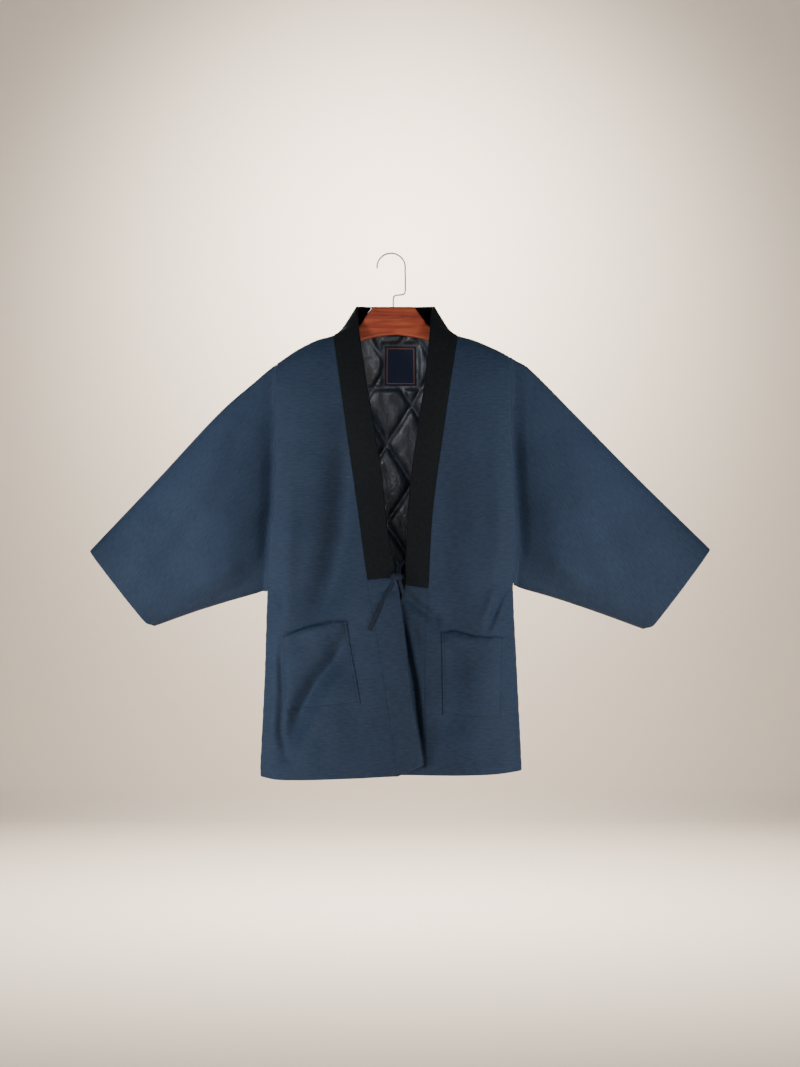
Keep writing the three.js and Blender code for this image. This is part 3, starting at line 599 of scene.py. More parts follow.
FRONT_FOLDS = {
    # width, height, then the route through x, z
    "right": [
        (31, -31, (-74, -290), (-80, -420), (-88, -510), (-102, -578), (-124, -634), (-158, -690)),
        (18, 6, (-178, -430), (-186, -560), (-192, -650), (-200, -700)),
        (5, -8, (-216, -594), (-206, -614), (-194, -642)),
        (7, -10, (-198, -690), (-194, -785), (-198, -860), (-187, -905)),
        (12, 4, (-216, -640), (-214, -760), (-218, -880)),
        (4, -6, (-84, -655), (-140, -672), (-190, -684)),
        (22, -30, (-68, -664), (-102, -731), (-134, -771), (-160, -816), (-176, -864), (-188, -897)),
        (28, -5, (-66, -690), (-60, -780), (-56, -900)),
        (20, -4, (-118, -850), (-124, -930)),
        (8, -3, (-22, -610), (14, -600)),
    ],
    "left": [
        (46, -24, (76, -290), (82, -450), (86, -600), (98, -700), (104, -840)),
        (18, 5, (188, -300), (194, -480), (184, -640), (190, -760)),
        (36, -12, (112, -690), (106, -780), (112, -880)),
        (6, -11, (221, -582), (200, -612), (172, -676)),
        (9, 4, (205, -578), (182, -612), (160, -664)),
        (4, -4, (216, -606), (206, -630), (198, -654)),
        (9, -9, (14, -602), (48, -632), (78, -655), (88, -690)),
        (6, -3, (38, -666), (50, -700)),
        (6, -14, (16, -630), (27, -700), (40, -767), (48, -835), (57, -912)),
        (4, -6, (94, -676), (120, -684), (150, -689)),
        (4, -3, (140, -688), (168, -689), (196, -687)),
        (18, -4, (176, -850), (180, -925)),
    ],
}
LAP_TOP_Z = -520
LAP_FULL_Z = -640


def lap(start, end, rise):
    def height(x, z):
        return rise * ease((x - start) / (end - start)) * ease((LAP_TOP_Z - z) / (LAP_TOP_Z - LAP_FULL_Z))

    return height


front_depth = curve((-146, 60), (-400, 64), (-620, 62), (-945, 55))
front_face = {
    "right": Face(-1, front_depth, 46, FRONT_FOLDS["right"], lap(-90, 10, 7), seed=3),
    "left": Face(-1, front_depth, 46, FRONT_FOLDS["left"], lap(130, 30, -8), seed=5),
}
collar_seam = {
    "right": curve(
        (-146, -104), (-241, -90), (-418, -66), (-585, -42), (-695, -23), (-810, -5), (-935, 12)
    ),
    "left": curve(
        (-146, 120), (-241, 105), (-410, 81), (-484, 73), (-601, 67), (-688, 61), (-936, 59)
    ),
}


def front_place(which, out, up):
    """x and z of a share out from the collar seam and up from the hem."""
    seam, edge = collar_seam[which], side_edge[which]
    foot_x = mix(seam(HEM_Z), edge(HEM_Z), out)
    top_x = mix(NECK_X[which], edge(TIP_Z[which]), out)
    inner_z = mix(hem(seam(HEM_Z)), NECK_Z, up)
    outer_z = mix(hem(edge(HEM_Z)), TIP_Z[which], up)
    return mix(seam(inner_z), edge(outer_z), out), mix(hem(foot_x), shoulder(top_x), up)


def front_surface(which, out, up):
    return front_face[which].surface(*front_place(which, out, up))


for which in ("right", "left"):
    _, _, points, normals = even_grid(front_surface, which)
    edges = [HEMMED, SHOULDER_SEAM, BAND_SEAM, SEAM]
    wall = padded_wall(points, normals, CLOTH, edges, seed=len(which))
    panel = shell(f"front_panel_{which}", *wall, points[..., [0, 2]], [navy_cotton, black_satin])
    settle(panel, f"front_{which}")

# ---------------------------------------------------------------------------------------------
# Sleeves: each one wide panel folded along the top of the arm and seamed underneath, set flat
# into the armhole and open at the cuff. The wadding holds the middle out, and the cloth sinks in
# beside the armhole seam and creases under the arm.

ARMHOLE_SLEEVE_DEPTH = 25
ARMHOLE_STEP = 0.016  # the share over which the sleeve drops behind the body's edge
SLEEVE_TOP_ROUND = 0.58
SLEEVE_UNDER_ROUND = 0.34
CUFF_CORNER = 0.032  # the share by which the cuff rounds off at its lower corner
CORNER_HEIGHT = 0.08  # the share of the cuff's height that this takes
ARMHOLE_BEND = 0.3  # the share over which the curve of the armhole runs out
ARMHOLE_FLAT = 0.014  # the share over which the folds begin
SLEEVE_FOLD_ROOM = 22
BACK_FOLDS_SHARE = 0.6
SLEEVE_STEP = 4.2
SLEEVE_ROWS = {
    "right": [
        # share, top x, top z, underarm x, underarm z, front depth, back depth
        (0.03, -216, -205, -230, -607, 24, 39),
        (0.09, -237, -223, -243, -611, 28, 38),
        (0.3, -308, -285, -289, -624, 44, 40),
        (0.62, -416, -401, -356, -645, 40, 34),
        (1, -543, -535, -434, -673, 27, 24),
    ],
    "left": [
        (0.03, 225, -192, 229, -600, 24, 39),
        (0.09, 247, -205, 241, -604, 28, 38),
        (0.3, 322, -280, 290, -618, 44, 40),
        (0.62, 437, -397, 365, -643, 40, 34),
        (1, 575, -532, 464, -679, 27, 24),
    ],
}
SLEEVE_FOLDS = {
    # width, height, then the route through x, z; the same ones lie on the back
    "right": [
        (24, -9, (-204, -270), (-207, -400), (-215, -500), (-225, -590)),
        (11, -4, (-240, -592), (-266, -600), (-300, -612), (-332, -622)),
        (13, 4, (-262, -544), (-304, -578), (-350, -600)),
        (24, -4, (-268, -300), (-286, -360), (-304, -430)),
        (26, -3, (-350, -480), (-390, -550), (-420, -600)),
        (20, 2, (-430, -500), (-470, -580)),
    ],
    "left": [
        (24, -9, (214, -270), (214, -400), (228, -510), (240, -584)),
        (11, -4, (246, -588), (280, -598), (312, -606), (346, -616)),
        (13, 4, (274, -540), (316, -572), (360, -596)),
        (24, -4, (282, -290), (300, -350), (320, -420)),
        (26, -3, (372, -470), (410, -540), (442, -595)),
        (20, 2, (452, -500), (498, -590)),
    ],
}


class Sleeve:
    """The outer surface of a sleeve, by its angle round from the top fold and share to the cuff."""

    def __init__(self, which):
        self.which = which
        self.face = front_face[which]
        self.way = 1 if which == "right" else -1
        edge, tip, underarm = side_edge[which], TIP_Z[which], underarm_z[which]
        depth = ARMHOLE_SLEEVE_DEPTH
        rows = [(0, edge(tip), tip, edge(underarm), underarm, depth, depth), *SLEEVE_ROWS[which]]
        columns = np.array(rows, float).T
        self.top_x, self.top_z, self.under_x, self.under_z, self.front, self.back = (
            curve(*zip(columns[0], column)) for column in columns[1:]
        )

    def points(self, angle, share):
        down = (1 - np.cos(angle)) / 2
        share = share * (1 - CUFF_CORNER * ease((down - 1 + CORNER_HEIGHT) / CORNER_HEIGHT) ** 2)
        is_front = np.sin(angle) >= 0
        armhole_z = mix(TIP_Z[self.which], underarm_z[self.which], down)
        armhole_x = side_edge[self.which](armhole_z)
        bend = armhole_x - mix(self.top_x(0), self.under_x(0), down)
        at_armhole = np.where(
            is_front,
            self.face.plain_squared(armhole_x, armhole_z),
            back_face.plain_squared(armhole_x, armhole_z),
        )
        full = np.where(is_front, self.front(share), self.back(share))
        own = full * rounded(down / SLEEVE_TOP_ROUND) * rounded((1 - down) / SLEEVE_UNDER_ROUND)
        depth = mix(np.sqrt(np.maximum(at_armhole, 0)), own, ease(share / ARMHOLE_STEP))
        x = mix(self.top_x(share), self.under_x(share), down) + bend * (1 - ease(share / ARMHOLE_BEND))
        z = mix(self.top_z(share), self.under_z(share), down)
        folds = fold_height(SLEEVE_FOLDS[self.which], x, z) * np.where(is_front, 1, BACK_FOLDS_SHARE)
        folds = folds + slack(x, z, 7 + self.way + np.where(is_front, 0, 2))
        begins = ease(share / ARMHOLE_FLAT)
        depth = depth + folds * np.minimum(1, depth / SLEEVE_FOLD_ROOM) ** 2 * begins
        return np.stack(np.broadcast_arrays(x, np.where(is_front, -depth, depth), z), -1)

    def surface(self, angle, share):
        points = self.points(angle, share)
        round_it = self.points(angle + 0.01, share) - self.points(angle - 0.01, share)
        along = self.points(angle, share + 0.004) - self.points(angle, share - 0.004)
        return points, unit(np.cross(along, round_it) * self.way)


for which in ("right", "left"):
    sleeve = Sleeve(which)
    half_turns = math.pi * even_steps(lambda s: sleeve.points(math.pi * s, 0.3), SLEEVE_STEP)
    angles = np.concatenate([half_turns, 2 * math.pi - half_turns[-2::-1]])
    shares = even_steps(lambda s: sleeve.points(0.5 * math.pi, s), SLEEVE_STEP)
    points, normals = sleeve.surface(angles[None, :], shares[:, None])
    edges = [ARMHOLE_SEAM, HEMMED, None, None]
    wall = padded_wall(points, normals, CLOTH, edges, seed=3 + len(which))
    top_fold = np.array([sleeve.top_x(1) - sleeve.top_x(0), sleeve.top_z(1) - sleeve.top_z(0)])
    uv = np.stack([points[..., [0, 2]] @ unit(top_fold), lengths_along(points, 1)], -1)
    panel = shell(f"sleeve_panel_{which}", *wall, uv, [navy_cotton, black_satin], tube=True)
    settle(panel, f"sleeve_{which}")

# ---------------------------------------------------------------------------------------------
# Collar: a long strip of black cotton folded over wadding, sewn to both fronts and round the back
# of the neck. It stands up behind the hanger, turns forward beside it, and lies flat down the
# chest to where the navy bands take over.

COLLAR_CROWN = 1.5
COLLAR_WIDTH = 58
STRIP_STEP = 3.2
COLLAR_END_Z = {"right": -585, "left": -601}
COLLAR_EDGE = [
    # station, x, y, z of the free edge: station 0 is at the back, 1 at the left neck point
    (-2, 11, -66, -579),
    (-1.82, -6, -61, -499),
    (-1.62, -16, -59, -411),
    (-1.4, -30, -57, -315),
    (-1.22, -43, -50, -233),
    (-1.1, -51, -40, -180),
    (-1.03, -57, -27, -144),
    (-0.97, -61, -9, -111),
    (-0.9, -63, 12, -94),
    (-0.75, -60, 30, -92),
    (-0.4, -36, 40, -92),
    (0, 8, 43, -92),
    (0.4, 52, 40, -92),
    (0.75, 76, 30, -92),
    (0.9, 78, 12, -94),
    (0.97, 73, -9, -112),
    (1.03, 69.5, -27, -143),
    (1.1, 65, -40, -182),
    (1.21, 59, -50, -236),
    (1.39, 47, -56, -317),
    (1.58, 36, -58, -405),
    (1.74, 30, -58, -479),
    (2, 25, -56, -594),
]
collar_edge = [curve(*((row[0], row[k]) for row in COLLAR_EDGE)) for k in (1, 2, 3)]


def front_seam_spots(which, stations):
    """Spots on a front's collar seam, from the neck point at station 1 to the end at 2."""
    z = NECK_Z - (stations - 1) * (NECK_Z - COLLAR_END_Z[which])
    return front_face[which].surface(collar_seam[which](z), z)


def even_width(width, step):
    """Even shares across a flat strip."""
    return even_steps(lambda s: np.outer(s, [width, 0, 0]), step)


side_stations = 1 + even_steps(lambda s: front_seam_spots("right", 1 + s)[0], STRIP_STEP)
neck_stations = np.linspace(-1, 1, 84)[1:-1]
middle_x = (NECK_X["right"] + NECK_X["left"]) / 2
neck_x = middle_x + neck_stations * (NECK_X["left"] - middle_x)
spots = [
    front_seam_spots("right", side_stations[::-1]),
    back_face.surface(neck_x, back_neck(neck_x)),
    front_seam_spots("left", side_stations),
]
stations = np.concatenate([-side_stations[::-1], neck_stations, side_stations])
seam_points = np.concatenate([points for points, _ in spots])
seam_normals = np.concatenate([normals for _, normals in spots])
edge_points = np.stack([part(stations) for part in collar_edge], -1)
width = edge_points - seam_points
travel = np.gradient((seam_points + edge_points) / 2, axis=0)
facing = unit(np.cross(travel, width))
facing *= np.sign(np.sum(facing * seam_normals, axis=1, keepdims=True))
for _ in range(4):
    facing[1:-1] = unit(facing[:-2] + 2 * facing[1:-1] + facing[2:])
shares = even_width(COLLAR_WIDTH, STRIP_STEP)[None, :, None]
turned = ease(shares / 0.3)
normals = unit(mix(seam_normals[:, None], facing[:, None], turned))
points = seam_points[:, None] + width[:, None] * shares
points = points + normals * COLLAR_CROWN * np.sin(math.pi * shares)
seam_run = lengths_along(seam_points[:, None], 0)
wall = padded_wall(points, normals, CLOTH, [SEAM, SEAM, SEAM, FREE], seed=2)
collar_uv = np.stack(np.broadcast_arrays(shares[..., 0] * COLLAR_WIDTH, seam_run), -1)

black_cotton, tree, shader = new_finish("black_cotton")
twill = add_node(
    tree,
    "ShaderNodeTexWave",
    {"Vector": cloth_uv(tree, 420, 420), "Scale": 1, "Distortion": 1.2},
    bands_direction="DIAGONAL",
)
fluff = noise(tree, cloth_uv(tree, 160, 160), 4, 0.6)
relief = bump(tree, twill.outputs["Fac"], 0.0002, 0.5)
look = {
    "Base Color": ramp(tree, fluff, (0.3, colour(9, 14, 19)), (0.72, colour(19, 26, 33))),
    "Normal": bump(tree, fluff, 0.0006, 0.5, relief),
    "Roughness": 0.88,
    "Specular IOR Level": 0.25,
    "Sheen Weight": 0.03,
    "Sheen Roughness": 0.4,
}
feed(tree, shader, look)
collar_strip = shell("collar_strip", *wall, collar_uv, [black_cotton])
settle(collar_strip, "collar")

# ---------------------------------------------------------------------------------------------
# Front bands: the collar's strip carried on to the hem in navy cotton. The right one rides over
# the left one and stands a little off it at its free edge, and its corner lifts at the hem.

BAND_EDGE = {
    # height of the seam, then x and z of the free edge
    "right": [
        (-585, 11, -579), (-640, 19, -637), (-695, 26, -690), (-760, 32, -754), (-810, 38, -803),
        (-905, 54, -889), (-935, 58, -914),
    ],
    "left": [
        (-601, 25, -594), (-650, 11, -646), (-720, 3, -718), (-803, 1, -802), (-936, 0, -935),
    ],
}  # fmt: skip
BAND_LIFT = {"right": 13, "left": 0}

for which in ("right", "left"):
    face, seam = front_face[which], collar_seam[which]
    edge_x = curve(*((row[0], row[1]) for row in BAND_EDGE[which]))
    edge_z = curve(*((row[0], row[2]) for row in BAND_EDGE[which]))
    foot_z, top_z = hem(seam(HEM_Z)), COLLAR_END_Z[which]

    def band_surface(share, up):
        z = mix(foot_z, top_z, up)
        points, normals = face.surface(mix(seam(z), edge_x(z), share), mix(z, edge_z(z), share))
        points[..., 1] -= BAND_LIFT[which] * share**2 * np.sin(math.pi * np.clip(up, 0, 1)) ** 0.7
        return points, normals

    _, _, points, normals = even_grid(band_surface, step=STRIP_STEP)
    wall = padded_wall(points, normals, CLOTH, [HEMMED, SEAM, BAND_SEAM, FREE], seed=4)
    band = shell(f"front_band_{which}", *wall, points[..., [0, 2]], [navy_cotton])
    settle(band, f"band_{which}")

# ---------------------------------------------------------------------------------------------
# Pockets: a patch of navy cotton on each front, turned in at its edges and topstitched down both
# sides and along the bottom. The mouths gape a little, the right one for most of its width and
# the left one at its inner end.

POCKET_CLOTH = 2.6
SEAT = 0.3  # how far a sewn-on piece lies off the cloth under it
STITCH_INSET = 3.6
STITCH_DENT = (1, 1.7)  # depth and half-width of the groove that a line of stitches draws
POCKET_PUFF = 1.2  # how far the middle of a pocket stands off
GAPE_SHARE = 0.16  # of the pocket's height, over which its mouth closes again
MOUTH_DIP = (3.5, 0.3, 0.05)  # depth, and shares across and down, of the sag in its top edge
POCKET_CORNERS = {
    # inner top, outer top, inner foot, outer foot
    "right": [(-80, -657), (-193, -688), (-54, -805), (-189, -823)],
    "left": [(90, -679), (201, -689), (92, -828), (198, -835)],
}
POCKET_GAPE = {"right": (0.42, 0.34, 7), "left": (0.26, 0.2, 6)}  # share out, half-width, height


def pocket_surface(which, out, down):
    inner_top, outer_top, inner_foot, outer_foot = (np.array(c) for c in POCKET_CORNERS[which])
    out, down = np.broadcast_arrays(out, down)
    top = mix(inner_top, outer_top, out[..., None])
    foot = mix(inner_foot, outer_foot, out[..., None])
    place = mix(top, foot, down[..., None])
    depth, wide, high = MOUTH_DIP
    dip = depth * np.exp(-(((out - POCKET_GAPE[which][0]) / wide) ** 2)) * np.exp(-down / high)
    return front_face[which].surface(place[..., 0], place[..., 1] - dip)


pocket_stitch_lines = []
for which in ("right", "left"):
    out, down, points, normals = even_grid(pocket_surface, which, step=2.6)
    run_down, run_out = lengths_along(points, 0), lengths_along(points, 1)
    sewn = np.minimum(np.minimum(run_out, run_out[:, -1:] - run_out), run_down[-1:] - run_down)
    centre, half, height = POCKET_GAPE[which]
    gape = height * np.exp(-(((out - centre) / half) ** 2)) * np.exp(-((down / GAPE_SHARE) ** 2))
    puff = POCKET_PUFF * ease(sewn / 20) + 0.5 * np.sin(run_out / 9 + 1) * np.exp(-run_down / 30)
    base = SEAT + gape * ease(sewn / 14) + puff * ease(sewn / 6)
    thick = POCKET_CLOTH * mix(0.35, 1, rounded(sewn / 2.5)) * mix(0.25, 1, rounded(run_down / 1.6))
    dent = STITCH_DENT[0] * np.exp(-(((sewn - STITCH_INSET) / STITCH_DENT[1]) ** 2))
    top_face = points + normals * (base + thick - dent)[..., None]
    under_face = points + normals * base[..., None]
    patch = shell(f"pocket_patch_{which}", top_face, under_face, points[..., [0, 2]], [navy_cotton])
    settle(patch, f"pocket_{which}")
    column = np.argmin(np.abs(run_out - STITCH_INSET), axis=1)
    far_column = np.argmin(np.abs(run_out[:, -1:] - run_out - STITCH_INSET), axis=1)
    row = int(np.argmin(np.abs(run_down[-1, 0] - run_down[:, 0] - STITCH_INSET)))
    sides_and_foot = [
        top_face[np.arange(row), column[:row]],
        top_face[row, column[row] : far_column[row] + 1],
        top_face[np.arange(row)[::-1], far_column[:row][::-1]],
    ]
    pocket_stitch_lines.append(np.concatenate(sides_and_foot))

# ---------------------------------------------------------------------------------------------
# Back lining: black satin over the back's wadding, quilted by machine in tall diamonds, with a
# level join across it below the label. It shows in the neck, between the collar's two sides.

LINING_CLOTH = 1.2
LINING_INSET = CLOTH + SEAT + LINING_CLOTH
LINING_ACROSS = (0.045, 0.955)  # its edges, as shares of the back's width
LINING_UP = (0.065, 0.994)
LINING_STEP = 2.7
QUILT_PUFF = 9
GROOVE_HALF = 5  # of a quilting line, or of the join
QUILT_SPACING = 89  # along a level line
QUILT_SLOPE = 1.61
QUILT_CROSSING = (-8, -341)
JOIN_Z = -239
LABEL = {"left": -12, "right": 46, "top": -162, "foot": -235}


def quilt_lines(x, z):
    """The distance from the nearest stitched line of each slant."""
    distances = []
    for slant in (1, -1):
        across = (x - QUILT_CROSSING[0] + slant * (z - QUILT_CROSSING[1]) / QUILT_SLOPE) / QUILT_SPACING
        away = np.abs(across - np.round(across)) * QUILT_SPACING
        distances.append(away * math.sin(math.atan(QUILT_SLOPE)))
    return distances


def lining_height(x, z):
    """How far the quilted lining stands in from the back's wall."""
    height = 1
    for away in quilt_lines(x, z):
        height = height * (1 - 0.95 * np.exp(-((away / GROOVE_HALF) ** 1.3)))
    height = height * (1 - 0.8 * np.exp(-(((z - JOIN_Z) / GROOVE_HALF) ** 2)))
    across = ease((x - LABEL["left"] + 12) / 10) * ease((LABEL["right"] + 12 - x) / 10)
    down = ease((LABEL["top"] + 12 - z) / 10) * ease((z - LABEL["foot"] + 8) / 10)
    wrinkles = 0.9 * np.sin((x + 0.5 * z) / 6) * np.sin((x - 0.3 * z) / 14) * height
    return (QUILT_PUFF * height + wrinkles) * (1 - 0.9 * across * down)


def lining_surface(across, share):
    """The lining runs up past the back's neck seam between the collar's two sides."""
    top = LINING_UP[1] + 0.018 * ease((0.24 - np.abs(across - 0.51)) / 0.06)
    points, normals = back_surface(across, mix(LINING_UP[0], top, share))
    inset = LINING_INSET + lining_height(points[..., 0], points[..., 2])
    return points - normals * inset[..., None], -normals


lining_across = even_steps(lambda s: back_surface(mix(*LINING_ACROSS, s), 0.5)[0], LINING_STEP)
lining_up = even_steps(lambda s: back_surface(0.5, mix(*LINING_UP, s))[0], LINING_STEP)
points, normals = lining_surface(mix(*LINING_ACROSS, lining_across[None, :]), lining_up[:, None])
wall = padded_wall(points, normals, LINING_CLOTH, [FREE] * 4, seed=1)
# The quilted lining takes a lighter copy of the black satin; its lighter tones are painted light deep in
# the neck.
quilted_satin_painted_light = lining_satin("quilted_satin_painted_light", colour(17, 21, 29), colour(50, 58, 71))
quilted_lining = shell("quilted_lining", *wall, points[..., [0, 2]], [quilted_satin_painted_light])
settle(quilted_lining, "lining_back")

# ---------------------------------------------------------------------------------------------
# Label: a bare woven patch on the lining below the neck, navy with a thin rust border line.

LABEL_CLOTH = 0.7
LABEL_LIFT = 1.7  # off the lining's wall, which is drawn in under it
LABEL_STEP = 2.5
LABEL_STEPPED = (57, 70)  # the width and height that its steps are counted over
BORDER_INSET = 0.0042  # of the middle of the border line
BORDER_HALF = 0.0007

label_width, label_height = LABEL["right"] - LABEL["left"], LABEL["top"] - LABEL["foot"]
label_across, label_down = (even_width(size, LABEL_STEP) for size in LABEL_STEPPED)
across, down = np.meshgrid(label_across, label_down)
x = mix(LABEL["left"], LABEL["right"], across)
z = mix(LABEL["top"], LABEL["foot"], down)
points, normals = back_face.surface(x, z)
label_inset = LINING_INSET + LABEL_LIFT + 0.25 * np.sin(x / 8) * np.sin(z / 11)
wall = padded_wall(points - normals * label_inset[..., None], -normals, LABEL_CLOTH, [FREE] * 4)
label_uv = np.stack([x - LABEL["left"], z - LABEL["foot"]], -1)

label_weave, tree, shader = new_finish("label_weave")
place = add_node(tree, "ShaderNodeSeparateXYZ", {"Vector": cloth_uv(tree, 1, 1)}).outputs
from_edges = []
for axis, size in (("X", label_width), ("Y", label_height)):
    half = size * MM / 2
    away = maths(tree, "ABSOLUTE", maths(tree, "SUBTRACT", place[axis], half))
    from_edges.append(maths(tree, "SUBTRACT", half, away))
from_edge = maths(tree, "MINIMUM", *from_edges)
border = maths(tree, "COMPARE", from_edge, BORDER_INSET, BORDER_HALF)
weave = noise(tree, cloth_uv(tree, 900, 2600))
ground = ramp(tree, weave, (0.3, colour(13, 20, 38)), (0.7, colour(25, 36, 60)))
dyes = {"Factor": border, "A": ground, "B": colour(118, 72, 52)}
dyed = add_node(tree, "ShaderNodeMix", dyes, data_type="RGBA")
look = {
    "Base Color": dyed.outputs["Result"],
    "Normal": bump(tree, weave, 0.0002, 0.6),
    "Roughness": 0.7,
    "Specular IOR Level": 0.15,
}
feed(tree, shader, look)
woven_label = shell("woven_label", *wall, label_uv, [label_weave])
settle(woven_label, "label")

# A small lamp of their own brings out the lining and label, deep in the neck.
inside = bpy.data.collections.new("inside")
inside.objects.link(quilted_lining)
inside.objects.link(woven_label)
softbox("inside_lamp", (-1.3, -2.4, 0.7), (0.01, 0, -0.25), (0.3, 0.3), 0.22, 10.5, only=inside)

# ---------------------------------------------------------------------------------------------
# Ties: two narrow flat cords of navy cotton, sewn behind the collar's free edges and knotted over
# the lap. One end hangs down the right band, and the other is short.

TIE_CLOTH = 1.6
TIE_STEP = 1.8
TIE_LIP = {"pinch": 0.8, "reach": 0.9, "pucker": 0}
KNOT = {"x": 10.0, "z": -579.0, "half_width": 11, "half_depth": 5.5, "half_height": 7}
FRONT = np.array([0.0, -1, 0])

# The ties take a darker copy of the navy cotton: painted shade.
tie_cotton_painted_shade = slub_cotton("tie_cotton_painted_shade", colour(14, 25, 41), colour(18, 31, 51), colour(24, 39, 61))


def over_lap(x, z, lift):
    """A spot in front of the right front, where that one laps over the left one."""
    return front_face["right"].surface(np.array(x), np.array(z))[0] + FRONT * lift


knot_middle = over_lap(KNOT["x"], KNOT["z"], SEAT + KNOT["half_depth"])


def from_knot(*place):
    return knot_middle + np.array(place)


def tie_strap(name, replaced, route, width, twist=0.0):
    """A flat tie with soft edges along a smooth route, its broad side to the front."""
    keys = np.linspace(0, 1, len(route))
    path = [curve(*zip(keys, places)) for places in np.array(route, float).T]

    def middle(share):
        return np.stack([part(share) for part in path], -1)

    alongs = even_steps(middle, TIE_STEP)
    tangent = unit(np.gradient(middle(alongs), axis=0))
    sideways = unit(np.cross(tangent, FRONT))
    normal = np.cross(sideways, tangent)
    normal *= np.sign(np.sum(normal * FRONT, axis=1, keepdims=True))
    roll = twist * np.sin(alongs * math.pi)[:, None]
    sideways, normal = (
        sideways * np.cos(roll) + normal * np.sin(roll),
        normal * np.cos(roll) - sideways * np.sin(roll),
    )
    acrosses = np.array([-0.5, -0.47, -0.4, -0.2, 0, 0.2, 0.4, 0.47, 0.5])
    points = middle(alongs)[:, None] + sideways[:, None] * (acrosses * width)[None, :, None]
    normals = np.broadcast_to(normal[:, None], points.shape)
    wall = padded_wall(points, normals, TIE_CLOTH, [TIE_LIP] * 4)
    uv = np.stack([lengths_along(points, 0), lengths_along(points, 1)], -1)
    strap = shell(name, *wall, uv, [tie_cotton_painted_shade])
    settle(strap, replaced)
    return strap


long_route = [
    over_lap(4.0, -590.0, 2.6),
    over_lap(-6.0, -608.0, 3.4),
    over_lap(-17.0, -628.0, 2.9),
    over_lap(-28.0, -652.0, 3.2),
    over_lap(-39.0, -675.0, 2.6),
]
short_route = [from_knot(5, 0, -6), from_knot(9, 1, -20), from_knot(13, 2, -36)]
right_route = [from_knot(1, -1, 6.5), from_knot(3, 9, 22), from_knot(-7, 14.8, 32)]
left_route = [from_knot(6, -1, 6.5), from_knot(8, 12, 20), from_knot(19, 24, 31)]
tie_long = tie_strap("tie_long_end", "tie_long", long_route, 7.6, twist=0.25)
tie_short = tie_strap("tie_short_end", "tie_short", short_route, 6)
tie_right = tie_strap("tie_strand_from_right", "tie_strand_right", right_route, 2.8)
tie_left = tie_strap("tie_strand_from_left", "tie_strand_left", left_route, 2.8)

# The knot: the gathered ends pull into two lobes, and one turn of the tie lies over them.
turns = np.linspace(0, 2 * math.pi, 65)
around, pole = np.meshgrid(turns, np.linspace(0, math.pi, 33))
lobe = 1 - 0.34 * np.exp(-((np.cos(pole) / 0.3) ** 2))
pleat = 1 + 0.07 * np.sin(9 * around + 2.5 * np.cos(pole)) * np.sin(pole)
girth = np.sin(pole) ** 0.8 * lobe * pleat
lobes = [
    KNOT["half_width"] * np.cos(pole),
    KNOT["half_depth"] * girth * np.sin(around),
    KNOT["half_height"] * girth * np.cos(around),
]
knot_points = np.stack(lobes, -1).reshape(-1, 3) + knot_middle
knot_uv = np.stack([around * 5, pole * 9], -1).reshape(-1, 2)
knot_faces = grid_faces(grid_numbers(*pole.shape))[:, ::-1]
knot_lobes = mesh_of("tie_knot_lobes", knot_points, knot_faces, knot_uv)
knot_lobes.data.materials.append(tie_cotton_painted_shade)

TURN_HALF = 4.2
TURN_LEAN = 2.2
across, around = np.meshgrid(np.linspace(-1, 1, 13), turns)
bow = [
    TURN_HALF * across + TURN_LEAN * np.cos(around),
    (KNOT["half_depth"] - 0.6 - 0.5 * across**2) * np.sin(around),
    (KNOT["half_height"] - 0.9 - 0.6 * across**2) * np.cos(around),
]
ring = np.stack(bow, -1)
thin = 1 - np.array([0, 1, 1]) * (0.16 + 0.1 * rounded(1 - np.abs(across)))[..., None]
ring_uv = np.stack([across * TURN_HALF, around * 6], -1)
knot_turn = shell("tie_knot_turn", ring + knot_middle, ring * thin + knot_middle, ring_uv, [tie_cotton_painted_shade])


def turn_outward(body):
    bmesh.ops.recalc_face_normals(body, faces=body.faces)


for piece, replaced in ((knot_lobes, "tie_knot"), (knot_turn, None)):
    rework(piece, merge_doubles, turn_outward)
    settle(piece, replaced)

# ---------------------------------------------------------------------------------------------
# Stitching: navy thread round each pocket and along the lining's quilting, each stitch a short
# bead sunk in the cloth. A line is walked in even steps, with one stitch laid along it at each.


